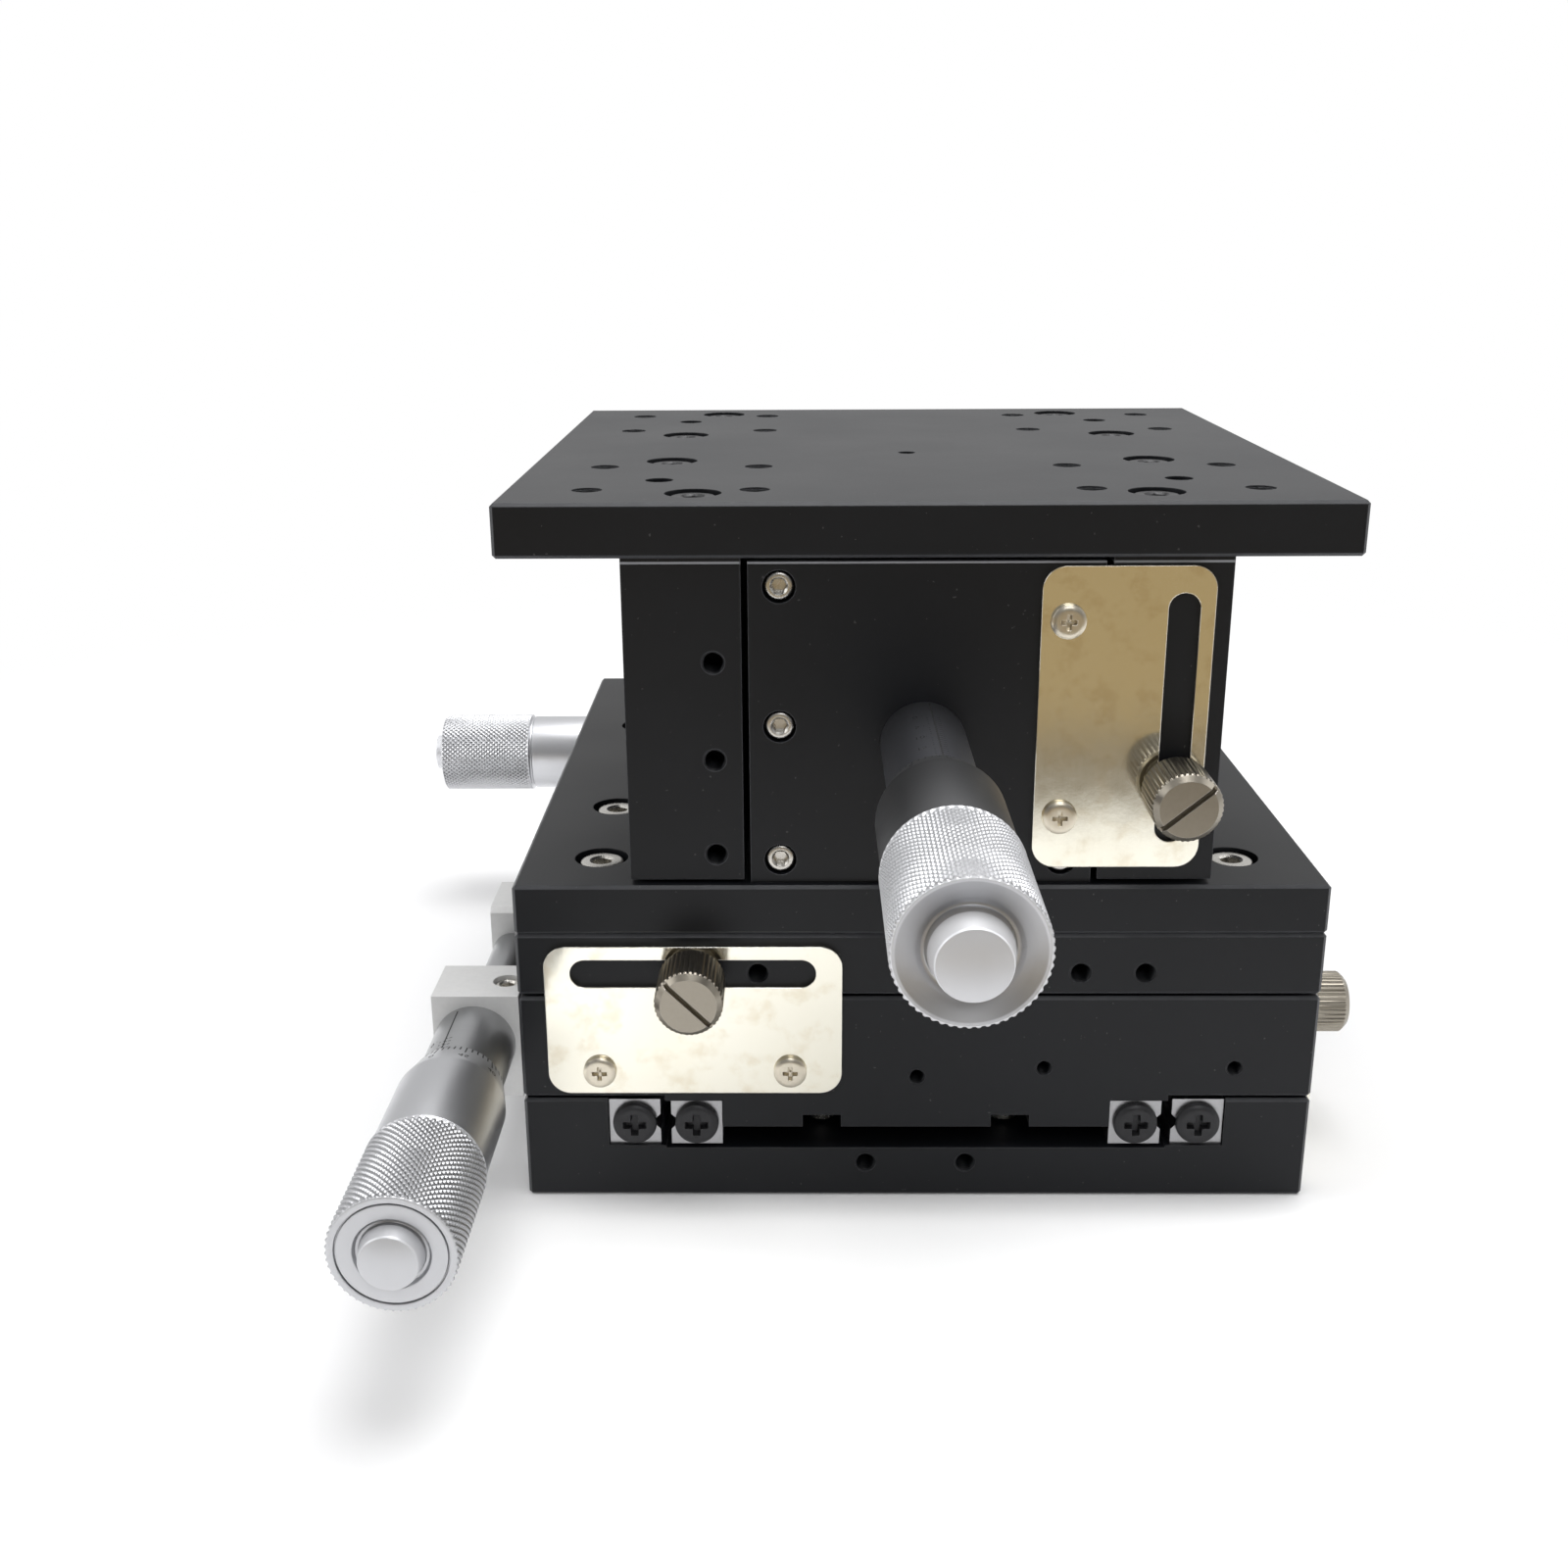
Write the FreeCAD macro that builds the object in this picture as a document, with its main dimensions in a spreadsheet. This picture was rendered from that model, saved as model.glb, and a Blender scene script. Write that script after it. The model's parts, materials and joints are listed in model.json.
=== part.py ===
import FreeCAD, Part

import math
import os

import Sketcher
from FreeCAD import Placement, Rotation, Vector

# Three-axis micrometer translation stage. All lengths are in millimetres.
# The origin is the centre of the bottom face, X points right, Y away from the front, Z up.

SIZES = {
    # Square plates, stacked from the bench upwards
    "plate_side": 125,
    "base_height": 17.4,
    "middle_height": 17.4,
    "upper_height": 10.2,
    "z_base_height": 8,
    "top_height": 8,
    "stage_gap": 0.4,
    "edge_chamfer": 0.5,
    "cut_overrun": 1,
    # Crossed-roller guides
    "guide_offset": 39.95,
    "rail_gap": 1.7,
    "rail_width": 8.2,
    "rail_height": 8,
    "rail_inset": 0.6,
    "rail_drop": 0.3,
    "seat_clearance": 0.1,
    "channel_relief": 0.4,
    "tongue_drop": 4.6,
    "roller_diameter": 3,
    "roller_length": 2.9,
    "roller_play": 0.05,
    "roller_pitch": 6,
    "cage_thickness": 0.6,
    "cage_height": 6.4,
    "cage_margin": 5,
    "window_length": 3.3,
    "window_height": 4.5,
    "inner_screw_pitch": 45,
    "outer_screw_pitch": 105,
    "upper_inner_pitch": 25,
    "upper_outer_pitch": 75,
    "stage_travel": 12.5,
    "tongue_margin": 0.5,
    # Clearances of holes and running fits
    "running_clearance": 0.05,
    "thread_clearance": 0.05,
    "through_clearance": 0.25,
    "head_clearance": 0.15,
    # Cap screws: M4, M3 and M2.5
    "large_shank": 4,
    "large_head": 7,
    "large_head_height": 4,
    "large_length": 12,
    "large_socket": 3,
    "large_counterbore": 8.5,
    "large_seat_depth": 4.4,
    "cap_shank": 3,
    "cap_head": 5.5,
    "cap_head_height": 3,
    "cap_length": 10,
    "cap_socket": 2.5,
    "cap_thread_depth": 6.5,
    "small_shank": 2.5,
    "small_head": 4.3,
    "small_head_height": 2.5,
    "small_length": 16,
    "small_socket": 2,
    "small_seat_depth": 3,
    "pinch_length": 1.7,
    # Pan screws with cross recesses
    "pan_head": 5.2,
    "pan_head_height": 1.6,
    "pan_shank": 2.6,
    "pan_length": 6,
    "end_head": 7,
    "end_head_height": 1.4,
    "end_length": 5,
    "recess_width": 0.9,
    "recess_depth": 0.9,
    # Return springs and the posts that hold their eyes
    "spring_offset": 15,
    "spring_groove_width": 6.1,
    "spring_groove_depth": 2.1,
    "spring_diameter": 4.6,
    "spring_eye_hole": 2.7,
    "spring_eye_thickness": 1,
    "spring_neck": 1,
    "spring_floor_gap": 0.4,
    "spring_near_post": 52,
    "spring_far_post": 40,
    "upper_spring_shift": 8,
    "post_shank": 2.5,
    "post_length": 7,
    "post_head": 5,
    "post_head_height": 1.5,
    "post_play": 0.1,
    # Tapped holes in the plates
    "small_tap": 2.7,
    "medium_tap": 3.5,
    "tap_depth": 9,
    "middle_tap_height": 5.2,
    "middle_tap_near": 20,
    "middle_tap_far": 50,
    "middle_stop_height": 3.6,
    "base_tap_height": 6,
    "base_tap_offset": 8,
    "base_tap": 3.4,
    "upper_tap_height": 3.7,
    "upper_tap_near": 25,
    "upper_tap_far": 35,
    "base_mount_offset": 37.5,
    "base_mount_hole": 5,
    "base_mount_depth": 6.5,
    "grid_pitch": 25,
    "grid_hole": 4,
    "grid_countersink": 0.3,
    "square_hole_offset": 40,
    "square_hole": 4.4,
    "centre_hole": 3,
    # Micrometer heads
    "screw_offset": 7.2,
    "stem_diameter": 8,
    "spindle_diameter": 6.5,
    "spigot_diameter": 5,
    "spigot_length": 2,
    "sleeve_diameter": 12.8,
    "sleeve_length": 38,
    "z_sleeve_length": 42,
    "thimble_bore": 13,
    "thimble_edge": 13.8,
    "thimble_start": 14.5,
    "thimble_bevel": 6,
    "thimble_smooth": 23.6,
    "thimble_length": 43.4,
    "thimble_smooth_diameter": 16.4,
    "thimble_knurl_diameter": 17.1,
    "z_thimble_edge": 14.4,
    "z_thimble_start": 29.03,
    "z_thimble_smooth": 25.2,
    "z_thimble_length": 47.6,
    "z_thimble_smooth_diameter": 17.2,
    "z_thimble_knurl_diameter": 17.9,
    "rim_chamfer": 1,
    "end_wall": 4,
    "dish_diameter": 14.7,
    "dish_depth": 0.8,
    "button_root": 8.6,
    "button_tip": 7.8,
    "button_height": 2.6,
    "z_button_root": 10,
    "z_button_tip": 8.6,
    "z_button_height": 3.7,
    # Brackets that hold the heads and anvils that take their thrust
    "bracket_width": 11.6,
    "bracket_depth": 13.7,
    "bracket_inset": 0.4,
    "face_gap": 0.4,
    "y_screw_height": 9.3,
    "y_bracket_screw_height": 2.6,
    "bracket_screw_pitch": 5.8,
    "pinch_offset": 2.6,
    "x_screw_height": 16.15,
    "x_screw_offset": 8.7,
    "x_bracket_left": 41.9,
    "x_bracket_depth": 15.2,
    "x_bracket_rise": 1.2,
    "x_bracket_height": 24,
    "x_bracket_screw_height": 6.2,
    "y_anvil_front": 36.5,
    "y_anvil_length": 12.5,
    "y_anvil_depth": 10.7,
    "y_anvil_bottom": 3,
    "y_anvil_top": 35.2,
    "y_anvil_screw_height": 10.2,
    "y_anvil_screw_pitch": 6.2,
    "anvil_chamfer": 1,
    "anvil_screw_reach": 3.6,
    "x_anvil_left": 5.5,
    "x_anvil_length": 12,
    "x_anvil_drop": 7.6,
    "x_anvil_top_gap": 0.2,
    "x_anvil_screw_height": 5.9,
    # Slotted clamp plates and their knobs
    "clamp_length": 46.2,
    "clamp_width": 25.1,
    "clamp_thickness": 0.9,
    "clamp_corner": 3.5,
    "clamp_slot_length": 38.15,
    "clamp_slot_width": 4.65,
    "clamp_slot_edge": 4.5,
    "clamp_screw_pitch": 30,
    "clamp_screw_drop": 16.7,
    "clamp_screw_hole": 3.2,
    "x_clamp_offset": 35,
    "x_clamp_height": 4,
    "y_clamp_front": 26.4,
    "y_clamp_height": 4.1,
    "z_clamp_margin": 10.4,
    "z_clamp_rise": 1.15,
    "knob_diameter": 10,
    "knob_length": 9.8,
    "knob_chamfer": 0.75,
    "knob_rear_chamfer": 0.3,
    "knob_shoulder": 8,
    "knob_shoulder_height": 1.7,
    "knob_stud": 3.4,
    "knob_stud_length": 7,
    "knob_slot_width": 0.8,
    "knob_slot_depth": 1.2,
    # Lift: hollow centre frame with a column on each side
    "frame_recess": 1.43,
    "frame_half_width": 25.9,
    "frame_height": 49.7,
    "front_plate_thickness": 10,
    "cavity_wall": 2.35,
    "cavity_floor": 4.2,
    "cavity_back": 40,
    "frame_screw_margin": 5.5,
    "frame_screw_front": 35,
    "frame_screw_back": 50,
    "column_gap": 1,
    "column_width": 17.4,
    "column_foot_gap": 0.6,
    "top_gap": 0.7,
    "z_rail_gap": 1.7,
    "z_rail_recess": 0.35,
    "z_rail_foot": 2.1,
    "z_rail_head": 1.6,
    "z_travel": 20,
    "z_roller_pitch": 5.5,
    "z_cage_margin": 3.5,
    "front_screw_margin": 4.55,
    "front_screw_foot": 3.8,
    "front_screw_head": 3.7,
    "front_counterbore": 4.9,
    "front_thread_depth": 10,
    "column_tap_margin": 4.2,
    "column_tap_foot": 4.7,
    "column_tap_pitch": 15,
    "z_screw_height": 22.3,
    "wedge_side_gap": 6,
    "wedge_gap": 6.07,
    "wedge_head_gap": 10.5,
    "wedge_land": 8,
    "wedge_foot": 7,
    "wedge_tail": 24,
    "contact_rise": 4,
    "follower_diameter": 13,
    "follower_width": 5,
    "pin_diameter": 4,
    "ear_gap": 0.5,
    "ear_thickness": 4,
    "ear_radius": 4.5,
    "flange_half_width": 8,
    "flange_front": 24,
    "flange_back": 18,
    "flange_thickness": 5,
    "flange_screw_front": 20,
    "flange_screw_back": 3,
    "z_spring_wall_gap": 3,
    "z_spring_place": 12,
    "z_spring_foot": 7.7,
    "outer_cap_offset": 50,
    "column_cap_far_margin": 12.7,
    "column_cap_y_near": 18,
    "column_cap_near_margin": 7.1,
    "column_cap_y_far": 53.25,
}

LOWER_ROLLERS = 16
UPPER_ROLLERS = 14
Z_ROLLERS = 4
ROOT_TWO = math.sqrt(2)
ROOT_THREE = math.sqrt(3)

doc = FreeCAD.newDocument("translation_stage")
sheet = doc.addObject("Spreadsheet::Sheet", "Sizes")
for row, (alias, number) in enumerate(SIZES.items(), 1):
    sheet.set("A%d" % row, alias)
    sheet.set("B%d" % row, str(number))
    sheet.setAlias("B%d" % row, alias)
doc.recompute()

nodes = {}


class Size:
    """A length that remembers its formula, so a sum of named sizes stays bound to the sheet."""

    def __init__(self, number, formula):
        self.number = number
        self.formula = formula

    def combine(self, sign, other, number):
        return Size(number, "(%s %s %s)" % (self.formula, sign, other.formula))

    def __add__(self, other):
        other = as_size(other)
        return self.combine("+", other, self.number + other.number)

    def __radd__(self, other):
        return as_size(other) + self

    def __sub__(self, other):
        other = as_size(other)
        return self.combine("-", other, self.number - other.number)

    def __rsub__(self, other):
        return as_size(other) - self

    def __mul__(self, other):
        other = as_size(other)
        return self.combine("*", other, self.number * other.number)

    def __rmul__(self, other):
        return as_size(other) * self

    def __truediv__(self, other):
        other = as_size(other)
        return self.combine("/", other, self.number / other.number)

    def __neg__(self):
        return self * -1


def as_size(item):
    if isinstance(item, Size):
        return item
    return Size(float(item), "(%.12f)" % item)


def cell(alias):
    return Size(float(sheet.get(alias)), "Sizes.%s" % alias)


def bind(item, setting, size):
    """Tie one setting of an object to the sheet."""
    item.setExpression(setting, as_size(size).formula)


# The named sizes that several pieces share

side = cell("plate_side")
half = side / 2
gap = cell("stage_gap")
over = cell("cut_overrun")
base_top = cell("base_height")
middle_bottom = base_top + gap
middle_top = middle_bottom + cell("middle_height")
upper_bottom = middle_top + gap
upper_top = upper_bottom + cell("upper_height")
z_base_top = upper_top + cell("z_base_height")
frame_top = z_base_top + cell("frame_height")
top_bottom = frame_top + cell("top_gap")
top_top = top_bottom + cell("top_height")
column_bottom = z_base_top + cell("column_foot_gap")

guide = cell("guide_offset")
rail_width = cell("rail_width")
rail_height = cell("rail_height")
outer_face = guide + cell("rail_gap") / 2
inner_face = guide - cell("rail_gap") / 2
outer_back = outer_face + rail_width
inner_back = inner_face - rail_width
channel_half = outer_back + cell("seat_clearance")
tongue_half = inner_back - cell("seat_clearance")
groove_inside = cell("spring_offset") - cell("spring_groove_width") / 2
groove_outside = cell("spring_offset") + cell("spring_groove_width") / 2
rail_length = side - cell("rail_inset") * 2
z_rail_length = cell("frame_height") - cell("z_rail_foot") - cell("z_rail_head")

running = cell("running_clearance")
thread_gap = cell("thread_clearance")
through_gap = cell("through_clearance")
head_gap = cell("head_clearance")
cap_tap = cell("cap_shank") + thread_gap * 2
cap_through = cell("cap_shank") + through_gap * 2
cap_bore = cell("cap_head") + head_gap * 2
small_tap_hole = cell("small_shank") + thread_gap * 2
small_bore = cell("small_head") + head_gap
large_tap = cell("large_shank") + thread_gap * 2
large_through = cell("large_shank") + through_gap * 2
post_hole = cell("post_shank") + thread_gap * 2


class Levels:
    """Heights of one pair of guides, counted from the top of the plate that carries them."""

    def __init__(self, plate_top):
        self.seat = plate_top - cell("rail_drop") - rail_height
        self.floor = self.seat - cell("channel_relief")
        self.middle = self.seat + rail_height / 2
        self.rail_top = self.seat + rail_height
        self.tongue = self.rail_top - cell("tongue_drop")
        self.groove = self.tongue + cell("spring_groove_depth")
        self.spring = self.floor + cell("spring_floor_gap") + cell("spring_diameter") / 2
        play = cell("spring_eye_thickness") / 2 + cell("post_play")
        self.lower_seat = self.spring + play
        self.upper_seat = self.spring - play


lower = Levels(base_top)
upper = Levels(middle_top)

# Turns that bring a piece from its own frame into place

KEEP = Rotation()
TURNED = Rotation(Vector(0, 0, 1), 180)
ROLLED = Rotation(Vector(1, 0, 0), 180)
FLIPPED = Rotation(Vector(0, 1, 0), 180)
QUARTER = Rotation(Vector(0, 0, 1), 90)
UPRIGHT = Rotation(Vector(1, 0, 0), 90)


def facing(x, y, z):
    """The turn that points a piece's own Z axis along x, y, z."""
    return Rotation(Vector(0, 0, 1), Vector(x, y, z))


UP = facing(0, 0, 1)
DOWN = facing(0, 0, -1)
FRONT = facing(0, -1, 0)
BACK = facing(0, 1, 0)
LEFT = facing(-1, 0, 0)
RIGHT = facing(1, 0, 0)

# Sketches and features

PLANE_SIGNS = {"XY_Plane": 1, "XZ_Plane": -1, "YZ_Plane": 1}


def new_body(label):
    body = doc.addObject("PartDesign::Body", label)
    body.Label = label
    return body


def new_sketch(body, plane, height):
    """A sketch parallel to one of the body's own origin planes, at a height along that plane's axis."""
    sketch = body.newObject("Sketcher::SketchObject", "outline")
    support = [item for item in body.Origin.OriginFeatures if item.Role == plane][0]
    sketch.AttachmentSupport = (support, [""])
    sketch.MapMode = "FlatFace"
    bind(sketch, "AttachmentOffset.Base.z", height * PLANE_SIGNS[plane])
    return sketch


def hold_point(sketch, shape, corner, point):
    """Fix one point of a sketch by its two distances from the origin."""
    for kind, size in zip(("DistanceX", "DistanceY"), point):
        size = as_size(size)
        index = sketch.addConstraint(Sketcher.Constraint(kind, -1, 1, shape, corner, size.number))
        bind(sketch, "Constraints[%d]" % index, size)


def draw_outline(sketch, points):
    """A closed outline of straight lines."""
    corners = [Vector(as_size(u).number, as_size(v).number, 0) for u, v in points]
    ends = corners[1:] + corners[:1]
    first = sketch.GeometryCount
    for start, end in zip(corners, ends):
        sketch.addGeometry(Part.LineSegment(start, end), False)
    last = len(points) - 1
    for index in range(last):
        sketch.addConstraint(Sketcher.Constraint("Coincident", first + index, 2, first + index + 1, 1))
    sketch.addConstraint(Sketcher.Constraint("Coincident", first + last, 2, first, 1))
    for index, point in enumerate(points):
        hold_point(sketch, first + index, 1, point)


def draw_circles(sketch, places, diameter):
    diameter = as_size(diameter)
    for place in places:
        centre = Vector(as_size(place[0]).number, as_size(place[1]).number, 0)
        circle = sketch.addGeometry(Part.Circle(centre, Vector(0, 0, 1), diameter.number / 2), False)
        hold_point(sketch, circle, 3, place)
        index = sketch.addConstraint(Sketcher.Constraint("Diameter", circle, diameter.number))
        bind(sketch, "Constraints[%d]" % index, diameter)


def raise_pad(body, sketch, plane, length, towards):
    """Pad a sketch up (1) or down (-1) along the row axis, or evenly both ways (0)."""
    pad = body.newObject("PartDesign::Pad", "pad")
    pad.Profile = sketch
    bind(pad, "Length", length)
    if towards:
        pad.Reversed = towards * PLANE_SIGNS[plane] < 0
    else:
        pad.SideType = "Symmetric"
    doc.recompute()
    return pad


def sink_pocket(body, sketch, plane, length, towards):
    """Cut a sketch up (1) or down (-1) along the row axis, or evenly both ways (0)."""
    before = body.Shape.Volume
    pocket = body.newObject("PartDesign::Pocket", "pocket")
    pocket.Profile = sketch
    bind(pocket, "Length", length)
    if towards:
        pocket.Reversed = towards * PLANE_SIGNS[plane] > 0
    else:
        pocket.SideType = "Symmetric"
    doc.recompute()
    if not body.Shape.Volume < before:
        raise RuntimeError("A cut in %s removes nothing" % body.Label)
    return pocket


def pad_outline(body, plane, height, points, length, towards=1):
    sketch = new_sketch(body, plane, height)
    draw_outline(sketch, points)
    return raise_pad(body, sketch, plane, length, towards)


def cut_outline(body, plane, height, points, length, towards=1):
    sketch = new_sketch(body, plane, height)
    draw_outline(sketch, points)
    return sink_pocket(body, sketch, plane, length, towards)


def drill(body, plane, height, places, diameter, depth, towards=1):
    """Straight holes that start on one plane."""
    sketch = new_sketch(body, plane, height)
    draw_circles(sketch, places, diameter)
    return sink_pocket(body, sketch, plane, depth, towards)


def soften(body, kind, size, wanted):
    """Chamfer or fillet the edges that the given test picks."""
    doc.recompute()
    last = body.Tip
    names = ["Edge%d" % number for number, edge in enumerate(last.Shape.Edges, 1) if wanted(edge)]
    feature = body.newObject("PartDesign::" + kind, kind.lower())
    feature.Base = (last, names)
    bind(feature, "Radius" if kind == "Fillet" else "Size", size)
    doc.recompute()
    return feature


def same(first, second):
    return abs(first - second) < FreeCAD.Base.Precision.confusion() * 100


def lies_on(edge, axis, levels):
    """Whether both ends of an edge lie on one of some levels along an axis."""
    places = [getattr(vertex.Point, axis) for vertex in edge.Vertexes]
    return any(all(same(place, level) for place in places) for level in levels)


def break_plate_edges(body, bottom, top):
    """Chamfer the outer edges of a square plate."""
    reach = half.number
    sides = (-reach, reach)
    faces = (("x", sides), ("y", sides), ("z", (bottom.number, as_size(top).number)))

    def on_corner(edge):
        return sum(lies_on(edge, axis, levels) for axis, levels in faces) > 1

    return soften(body, "Chamfer", cell("edge_chamfer"), on_corner)


def place(item, x, y, z, turn=KEEP):
    """Put a piece at a point worked out from the sheet, turned into place."""
    item.Placement = Placement(Vector(as_size(x).number, as_size(y).number, as_size(z).number), turn)
    for letter, size in zip("xyz", (x, y, z)):
        bind(item, ".Placement.Base.%s" % letter, size)
    return item


def keep(item, label):
    """Count a finished piece among the pieces that are written out."""
    item.Label = label
    nodes[label] = item
    return item


def copy_at(master, x, y, z, turn=KEEP):
    link = doc.addObject("App::Link", "copy")
    link.LinkedObject = master
    return place(link, x, y, z, turn)


def group(label, copies):
    """Like pieces that share one name, each still a solid of its own."""
    compound = doc.addObject("Part::Compound", label)
    compound.Links = copies
    return keep(compound, label)


def mirrored(points):
    """An outline that is the same on both sides of its upright axis, from its right half."""
    return points + [(-u, v) for u, v in reversed(points)]


def corners(reach_u, reach_v):
    return [(reach_u * a, reach_v * b) for a in (-1, 1) for b in (-1, 1)]


def rectangle(left, right, low, high):
    return [(left, low), (right, low), (right, high), (left, high)]


def turned_body(label, points):
    """A piece turned about its own Z axis from an outline of (radius, place along the axis)."""
    body = new_body(label)
    sketch = new_sketch(body, "XZ_Plane", as_size(0))
    draw_outline(sketch, points)
    turning = body.newObject("PartDesign::Revolution", "turning")
    turning.Profile = sketch
    turning.ReferenceAxis = (sketch, ["V_Axis"])
    turning.Angle = 360
    doc.recompute()
    return body


# Fasteners, each with its origin where its head seats and its head along its own Z


def screw_outline(head, head_height, shank, length):
    points = [(0, -length), (shank / 2, -length), (shank / 2, 0)]
    return points + [(head / 2, 0), (head / 2, head_height), (0, head_height)]


def cap_screw(label, kind, length):
    """Socket head cap screw."""
    head_height = cell(kind + "_head_height")
    points = screw_outline(cell(kind + "_head"), head_height, cell(kind + "_shank"), length)
    body = turned_body(label, points)
    reach = cell(kind + "_socket") / ROOT_THREE
    angles = [math.radians(60 * step) for step in range(6)]
    hexagon = [(reach * math.cos(angle), reach * math.sin(angle)) for angle in angles]
    cut_outline(body, "XY_Plane", head_height, hexagon, head_height / 2, -1)
    return body


def pan_screw(label, head, head_height, shank, length):
    """Pan head screw with a cross recess."""
    body = turned_body(label, screw_outline(head, head_height, shank, length))
    arm = head / 4
    wide = cell("recess_width") / 2
    for along, across in ((arm, wide), (wide, arm)):
        cross = rectangle(-along, along, -across, across)
        cut_outline(body, "XY_Plane", head_height, cross, cell("recess_depth"), -1)
    return body


large_screw = cap_screw("large_cap_screw", "large", cell("large_length"))
cap = cap_screw("cap_screw", "cap", cell("cap_length"))
small_screw = cap_screw("small_cap_screw", "small", cell("small_length"))
pinch_screw = cap_screw("pinch_screw", "small", cell("pinch_length"))
pan_height = cell("pan_head_height")
pan = pan_screw("pan_screw", cell("pan_head"), pan_height, cell("pan_shank"), cell("pan_length"))
end_height = cell("end_head_height")
end_screw = pan_screw("end_screw", cell("end_head"), end_height, cell("cap_shank"), cell("end_length"))
post_height = cell("post_head_height")
post_points = screw_outline(cell("post_head"), post_height, cell("post_shank"), cell("post_length"))
spring_post = turned_body("spring_post", post_points)

# Rails: V groove on one long side, own frame at the middle of the back, long way along Y


def rail_body(label, length):
    depth = (cell("roller_diameter") / 2 + cell("roller_play")) * ROOT_TWO - cell("rail_gap") / 2
    tall = rail_height / 2
    points = [(0, -tall), (rail_width, -tall), (rail_width, -depth), (rail_width - depth, 0)]
    points += [(rail_width, depth), (rail_width, tall), (0, tall)]
    body = new_body(label)
    pad_outline(body, "XZ_Plane", as_size(0), points, length, 0)
    return body


def both_ways(first, second):
    return [first / 2, second / 2, first / -2, second / -2]


def drilled_rail(label, length, spots):
    """A rail with tapped holes for its screws and one more in each end for the end screw."""
    body = rail_body(label, length)
    places = [(rail_width / 2, spot) for spot in spots]
    drill(body, "XY_Plane", -rail_height / 2, places, cap_tap, cell("cap_thread_depth"))
    depth = cell("end_length") + thread_gap
    for end in (-1, 1):
        drill(body, "XZ_Plane", length / 2 * end, [(rail_width / 2, 0)], cap_tap, depth, -end)
    return body


screw_spots = both_ways(cell("inner_screw_pitch"), cell("outer_screw_pitch"))
upper_spots = both_ways(cell("upper_inner_pitch"), cell("upper_outer_pitch"))
upper_tongue = side - cell("stage_travel") * 2 - cell("tongue_margin") * 2
upper_rail_length = upper_tongue - cell("rail_inset") * 2
long_rail = drilled_rail("long_rail", rail_length, screw_spots)
upper_rail = drilled_rail("upper_rail", upper_rail_length, upper_spots)
short_rail = rail_body("short_rail", z_rail_length)


def rail_pair(label, rail, back, level, across, turns):
    """Two rails that face each other or look outwards."""
    copies = []
    for hand, turn in zip((1, -1), turns):
        x, y = (0, back * hand) if across else (back * hand, 0)
        copies.append(copy_at(rail, x, y, level, QUARTER * turn if across else turn))
    return group(label, copies)


rail_pair("lower_outer_rails", long_rail, outer_back, lower.middle, False, (TURNED, KEEP))
rail_pair("lower_inner_rails", long_rail, inner_back, lower.middle, False, (ROLLED, FLIPPED))
rail_pair("upper_outer_rails", long_rail, outer_back, upper.middle, True, (TURNED, KEEP))
rail_pair("upper_inner_rails", upper_rail, inner_back, upper.middle, True, (ROLLED, FLIPPED))

# Roller cages: a thin strip with a row of windows, and rollers crossed one against the next

roller = doc.addObject("Part::Cylinder", "roller")
bind(roller, "Radius", cell("roller_diameter") / 2)
bind(roller, "Height", cell("roller_length"))


def cage_body(label, count, pitch, margin):
    thick = cell("cage_thickness") / 2
    tall = cell("cage_height") / 2
    length = pitch * (count - 1) + margin * 2
    body = new_body(label)
    pad_outline(body, "XZ_Plane", as_size(0), rectangle(-thick, thick, -tall, tall), length, 0)
    sketch = new_sketch(body, "YZ_Plane", as_size(0))
    start = pitch * (count - 1) / -2
    wide = cell("window_length") / 2
    high = cell("window_height") / 2
    draw_outline(sketch, rectangle(start - wide, start + wide, -high, high))
    window = sink_pocket(body, sketch, "YZ_Plane", thick * 2 + over, 0)
    row = body.newObject("PartDesign::LinearPattern", "windows")
    row.Originals = [window]
    row.Direction = (sketch, ["H_Axis"])
    row.Occurrences = count
    bind(row, "Length", pitch * (count - 1))
    body.Tip = row
    doc.recompute()
    return body


lower_cage = cage_body("lower_cage", LOWER_ROLLERS, cell("roller_pitch"), cell("cage_margin"))
upper_cage = cage_body("upper_cage", UPPER_ROLLERS, cell("roller_pitch"), cell("cage_margin"))
short_cage = cage_body("short_cage", Z_ROLLERS, cell("z_roller_pitch"), cell("z_cage_margin"))


def cage_pair(label, cage, count, pitch, centres, turn):
    """Two cages with their rollers. The turn brings the long way of the cage into place."""
    copies = []
    along = turn.multVec(Vector(0, 1, 0))
    for centre in centres:
        copies.append(copy_at(cage, *centre, turn))
        for index in range(count):
            shift = pitch * (index - (count - 1) / 2)
            spot = [base + shift * round(part) for base, part in zip(centre, along)]
            crossing = Rotation(Vector(0, 1, 0), 45 if index % 2 else -45)
            lean = turn * crossing
            drop = lean.multVec(Vector(0, 0, -1))
            reach = cell("roller_length") / 2
            spot = [base + reach * part for base, part in zip(spot, drop)]
            copies.append(copy_at(roller, *spot, lean))
    return group(label, copies)


z_guide = cell("frame_half_width") - cell("z_rail_recess") + cell("z_rail_gap") / 2
z_rail_bottom = z_base_top + cell("z_rail_foot")
z_rail_middle = z_rail_bottom + z_rail_length / 2
lower_centres = [(guide * hand, as_size(0), lower.middle) for hand in (1, -1)]
upper_centres = [(as_size(0), guide * hand, upper.middle) for hand in (1, -1)]
z_centres = [(z_guide * hand, as_size(0), z_rail_middle) for hand in (1, -1)]
cage_pair("lower_roller_cages", lower_cage, LOWER_ROLLERS, cell("roller_pitch"), lower_centres, KEEP)
cage_pair("upper_roller_cages", upper_cage, UPPER_ROLLERS, cell("roller_pitch"), upper_centres, QUARTER)
cage_pair("z_roller_cages", short_cage, Z_ROLLERS, cell("z_roller_pitch"), z_centres, UPRIGHT)

# Plates

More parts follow.
